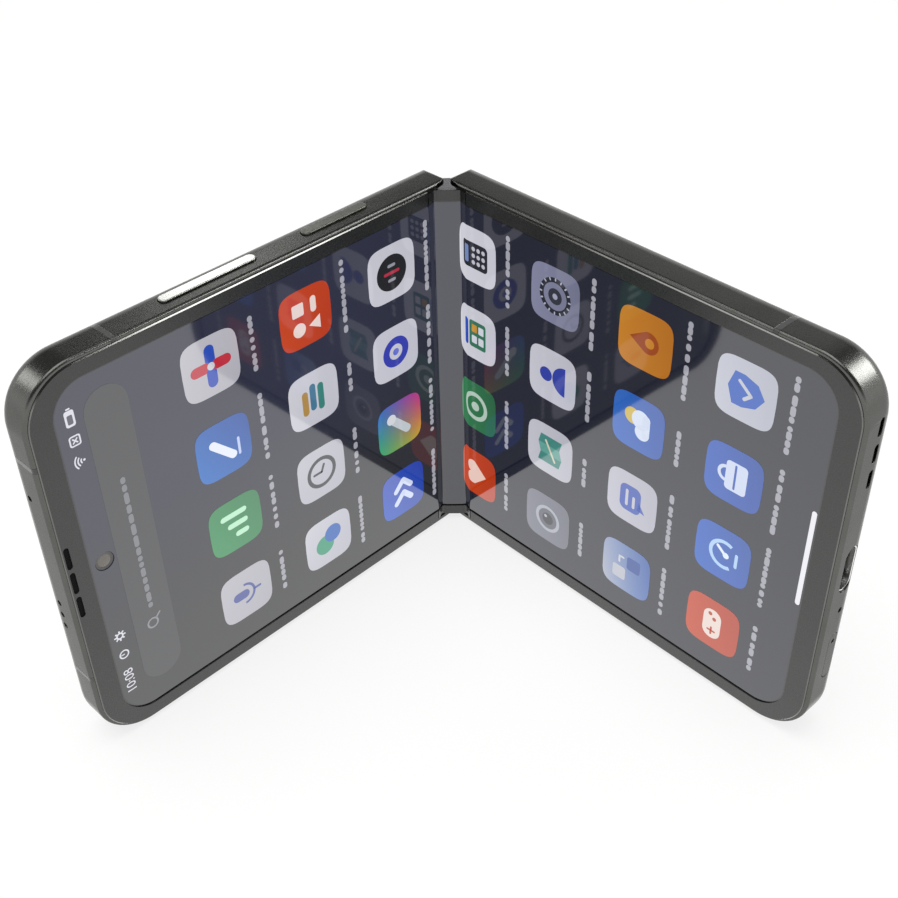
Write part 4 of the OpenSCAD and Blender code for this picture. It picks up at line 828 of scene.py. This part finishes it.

# ---- Keys -----------------------------------------------------------------------------
# Two milled aluminium keys with round ends in the upper half's long edge. The power key is
# blasted like the frame; the volume key is polished, with paler metal as a painted highlight.
# painted highlight: the volume key's metal is paler than the power key's, for the light its face
# catches
volume_key_metal_with_painted_highlight = grained("polished_key_aluminium_painted_highlight", "#90908c", "#858581", 0.22, metallic=1.0,
                     roughness=0.16, spread=0.03, relief=0.1)
key_metal = grained("blasted_key_aluminium", "#5a5b54", "#4f504a", 0.22, metallic=1.0,
                    roughness=0.33, spread=0.05, relief=0.3)
dressed_copy("power_key", "power_key_cap", "power_key", key_metal, easing=0.14)
dressed_copy("volume_key", "volume_key_cap", "volume_key", volume_key_metal_with_painted_highlight, easing=0.14)

# ---- Charging port and card tray ------------------------------------------------------
# The port is a drawn steel shell with a moulded tongue that carries a row of gold contacts
# on each face. The card tray is milled like the frame, with a hole for an eject pin.
dressed_copy("usb_connector", "charging_port_shell", "lower_half", stamped_steel, easing=0.05)
dressed_copy("sim_tray", "card_tray", "sim_tray", blasted_gunmetal, easing=0.08)

# hard gold over nickel: small, bright and yellow
contact_gold = grained("plated_contact_gold", "#d6b25e", "#bf9a46", 0.1, metallic=1.0,
                       roughness=0.25)
CONTACTS_PLACE = (81.2, 3.43, 34.25)
rows = bpy.data.node_groups.new("contact_row", "GeometryNodeTree")
rows.interface.new_socket("Geometry", in_out="OUTPUT", socket_type="NodeSocketGeometry")
rows.interface.new_socket("Geometry", in_out="INPUT", socket_type="NodeSocketGeometry")
for label, kind, value in (("Contacts", "Int", 12), ("Pitch", "Float", 0.5),
                           ("Length", "Float", 3.2), ("Width", "Float", 0.28),
                           ("Height", "Float", 0.04), ("Rows Apart", "Float", 0.74)):
    rows.interface.new_socket(label, in_out="INPUT",
                              socket_type="NodeSocket" + kind).default_value = value
finish_socket = rows.interface.new_socket("Finish", in_out="INPUT",
                                          socket_type="NodeSocketMaterial")
given = rows.nodes.new("NodeGroupInput").outputs
contact_size = add(rows, "CombineXYZ", {"X": given["Length"], "Y": given["Height"],
                                        "Z": given["Width"]})
contact = add(rows, "MeshCube", {"Size": contact_size.outputs[0]}, family="Geometry")
pitch = add(rows, "CombineXYZ", {"Z": given["Pitch"]})
line = add(rows, "MeshLine", {"Count": given["Contacts"], "Offset": pitch.outputs[0]},
           family="Geometry")
apart = add(rows, "CombineXYZ", {"Y": given["Rows Apart"]})
both_sides = add(rows, "MeshLine", {"Count": 2, "Offset": apart.outputs[0]}, family="Geometry")
one_row = add(rows, "InstanceOnPoints", {"Points": line.outputs["Mesh"],
                                         "Instance": contact.outputs["Mesh"]},
              family="Geometry")
both_rows = add(rows, "InstanceOnPoints", {"Points": both_sides.outputs["Mesh"],
                                           "Instance": one_row.outputs["Instances"]},
                family="Geometry")
real = add(rows, "RealizeInstances", {"Geometry": both_rows.outputs["Instances"]},
           family="Geometry")
gilded = add(rows, "SetMaterial", {"Geometry": real.outputs["Geometry"],
                                   "Material": given["Finish"]}, family="Geometry")
rows.links.new(gilded.outputs["Geometry"], rows.nodes.new("NodeGroupOutput").inputs["Geometry"])
contacts = bpy.data.objects.new("port_contacts", bpy.data.meshes.new("port_contacts"))
bpy.context.scene.collection.objects.link(contacts)
laid = contacts.modifiers.new("rows", "NODES")
laid.node_group = rows
laid[finish_socket.identifier] = contact_gold
made_plain(contacts)
for vertex in contacts.data.vertices:
    vertex.co = at_rest(*(start + step for start, step in zip(CONTACTS_PLACE, vertex.co)))
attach(contacts, "lower_half")


# ---- Selfie camera --------------------------------------------------------------------
# A small lens stack behind a round hole in the film: a black barrel, a step and a coated
# glass front that looks pale where it mirrors the room.
def turned_piece(name, body, centres, profile, coats, sides=48):
    """Rings about an axis square to the screen, at each of centres. profile gives (radius,
    behind, coat) from the middle outwards."""
    shape = bmesh.new()
    for flat, width in centres:
        circles = []
        for radius, behind, _ in profile:
            if radius == 0:
                circles.append([shape.verts.new(at_rest(flat, behind, width))])
                continue
            circles.append([shape.verts.new(at_rest(
                flat + radius * math.cos(2 * math.pi * k / sides), behind,
                width + radius * math.sin(2 * math.pi * k / sides))) for k in range(sides)])
        for (inner, outer), (_, _, paint) in zip(zip(circles, circles[1:]), profile[1:]):
            for k in range(sides):
                m = (k + 1) % sides
                corners = ((inner[0], outer[k], outer[m]) if len(inner) == 1
                           else (inner[k], outer[k], outer[m], inner[m]))
                face = shape.faces.new(corners)
                face.material_index = paint
                face.smooth = True
        shape.faces.new(circles[-1]).material_index = profile[-1][2]
    bmesh.ops.recalc_face_normals(shape, faces=shape.faces)
    for edge in shape.edges:
        edge.smooth = edge.calc_face_angle(0) < math.radians(28)
    piece = made_piece(name, shape, *coats)
    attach(piece, body)
    return piece


def polished(name, colour, roughness, ior=1.5, coat=0.0):
    """A smooth finish whose tone drifts a little over a few millimetres."""
    made, tree = new_material(name)
    at = add(tree, "TexCoord").outputs["Object"]
    drift = add(tree, "TexNoise", {"Vector": at, "Scale": 300.0, "Detail": 2.0})
    tone = add(tree, "Mix", {0: drift.outputs["Fac"], 6: linear(blended(colour, "#000000", 0.15)),
                             7: linear(colour)}, data_type="RGBA")
    shader = add(tree, "BsdfPrincipled", {"Base Color": tone.outputs[2], "Roughness": roughness,
                                          "IOR": ior, "Coat Weight": coat})
    add(tree, "OutputMaterial", {"Surface": shader.outputs[0]})
    return made


# a blackened barrel, coated glass with a warm cast, and a grey moulded step between them
lens_black = polished("lens_barrel_black", "#1c1b1a", 0.35)
selfie_coating = polished("coated_selfie_glass", "#5f574e", 0.12, ior=1.6)
lens_ring = polished("lens_ring_grey", "#3d3a36", 0.3)
selfie = turned_piece("selfie_lens", "upper_half", [(-77.3, 37.6)], [
    (0, 0.10, 1), (0.45, 0.11, 1), (0.85, 0.14, 1), (1.1, 0.17, 1), (1.15, 0.15, 2),
    (1.6, 0.13, 2), (1.62, 0.3, 0), (2.4, 0.351, 0), (2.4, 4.15, 0)],
    [lens_black, selfie_coating, lens_ring])
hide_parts("selfie_camera")

# ---- Earpiece cloth -------------------------------------------------------------------
# Black woven cloth that fills the earpiece's three slots, just below the bezel's face. The
# weave drinks the light, so it is the blackest thing on the phone.
SLOT_FLAT, SLOT_REACH, SLOT_WIDE = -83.0, 1.66, 0.86
CLOTH_DEPTHS = (-0.1, -0.01)
woven_black = grained("woven_black_cloth", "#080808", "#030303", 0.15, roughness=0.9, relief=0.6,
                      ior=1.2)
shape = bmesh.new()
for middle in (WIDTH / 2 + offset for offset in (-5, 0, 5)):
    outline = round_ended(middle - SLOT_REACH, 0, middle + SLOT_REACH, 0, SLOT_WIDE)
    face, back = ([shape.verts.new(at_rest(SLOT_FLAT - y, behind, x)) for x, y in outline]
                  for behind in CLOTH_DEPTHS)
    shape.faces.new(face)
    shape.faces.new(back)
    for i, corner in enumerate(face):
        shape.faces.new((face[i - 1], corner, back[i], back[i - 1]))
bmesh.ops.recalc_face_normals(shape, faces=shape.faces)
cloth = made_piece("earpiece_cloth", shape, woven_black)
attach(cloth, "upper_half")

# ---- Rear cameras and flash -----------------------------------------------------------
# Each camera has a turned and anodised ring round a sapphire window. Behind the window a
# printed black mask leaves the lens open, whose coating mirrors blue. The flash is a diffuser.
turned_ring = grained("turned_anodised_ring", "#8f908c", "#7d7e7a", 0.2, metallic=1.0,
                      roughness=0.24, relief=0.2)
dressed_copy("rear_camera_rings", "rear_camera_trims", "upper_half", turned_ring, easing=0.15)
mask_black = polished("printed_window_black", "#0b0b0d", 0.06, ior=1.77)
lens_blue = polished("coated_rear_lens", "#14203a", 0.04, ior=1.9, coat=1.0)
windows = turned_piece("rear_camera_fronts", "upper_half", [(-73.5, 61.5), (-60.5, 61.5)], [
    (0, 8.42, 2), (0.6, 8.40, 2), (1.15, 8.33, 2), (1.55, 8.22, 2), (1.6, 8.26, 1),
    (1.9, 8.30, 1), (1.95, 8.36, 3), (2.15, 8.42, 3), (2.2, 8.38, 1), (3.2, 8.50, 1),
    (3.25, 8.55, 1), (4.38, 8.55, 1), (4.38, 8.0, 0)],
    [lens_black, mask_black, lens_blue, lens_ring])
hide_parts("rear_camera_windows")

# clear acrylic over a yellow lamp, with a field of small lens cells
diffuser, tree = new_material("flash_diffuser_acrylic")
at = add(tree, "TexCoord").outputs["Object"]
cells = add(tree, "TexVoronoi", {"Vector": at, "Scale": 2600.0})
dimple = add(tree, "Bump", {"Strength": 0.5, "Distance": 0.0001,
                            "Height": cells.outputs["Distance"]})
shader = add(tree, "BsdfPrincipled", {"Base Color": linear("#e6dfc0"), "Roughness": 0.18,
                                      "Normal": dimple.outputs[0]})
add(tree, "OutputMaterial", {"Surface": shader.outputs[0]})
dressed_copy("flash_window", "flash_front", "upper_half", diffuser, easing=0.06)

# ---- Outside screen -------------------------------------------------------------------
# A small display bonded under the upper back glass. Where it lies, the glass is left clear
# and polished, so the sleeping screen is a black window with a thin printed border.
WINDOW_LOW, WINDOW_HIGH, WINDOW_CORNER = (46, 8), (78, 50), 2.5
GLASS_FACE, WINDOW_FACE = 7.601, 7.625
WINDOW_TAPER = 0.995
coat_nodes(mask_black, "cover_screen")
shape = bmesh.new()
middle = [(low + high) / 2 for low, high in zip(WINDOW_LOW, WINDOW_HIGH)]
left, lower = (value + WINDOW_CORNER for value in WINDOW_LOW)
right, upper = (value - WINDOW_CORNER for value in WINDOW_HIGH)
outline = []
for x, z, start in ((right, upper, 0), (left, upper, 90), (left, lower, 180), (right, lower, 270)):
    outline += round_points(x, z, WINDOW_CORNER, start, start + 90, 9)
rim = [shape.verts.new(at_rest(-x, GLASS_FACE, z)) for x, z in outline]
front = [shape.verts.new(at_rest(-(middle[0] + (x - middle[0]) * WINDOW_TAPER), WINDOW_FACE,
                                 middle[1] + (z - middle[1]) * WINDOW_TAPER))
         for x, z in outline]
for k in range(len(rim)):
    m = (k + 1) % len(rim)
    shape.faces.new((rim[k], rim[m], front[m], front[k]))
shape.faces.new(front)
shape.faces.new(rim)
bmesh.ops.recalc_face_normals(shape, faces=shape.faces)
outside = made_piece("outside_screen_window", shape, mask_black)
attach(outside, "upper_half")

# ---- Last update ----------------------------------------------------------------------
bpy.context.view_layer.update()
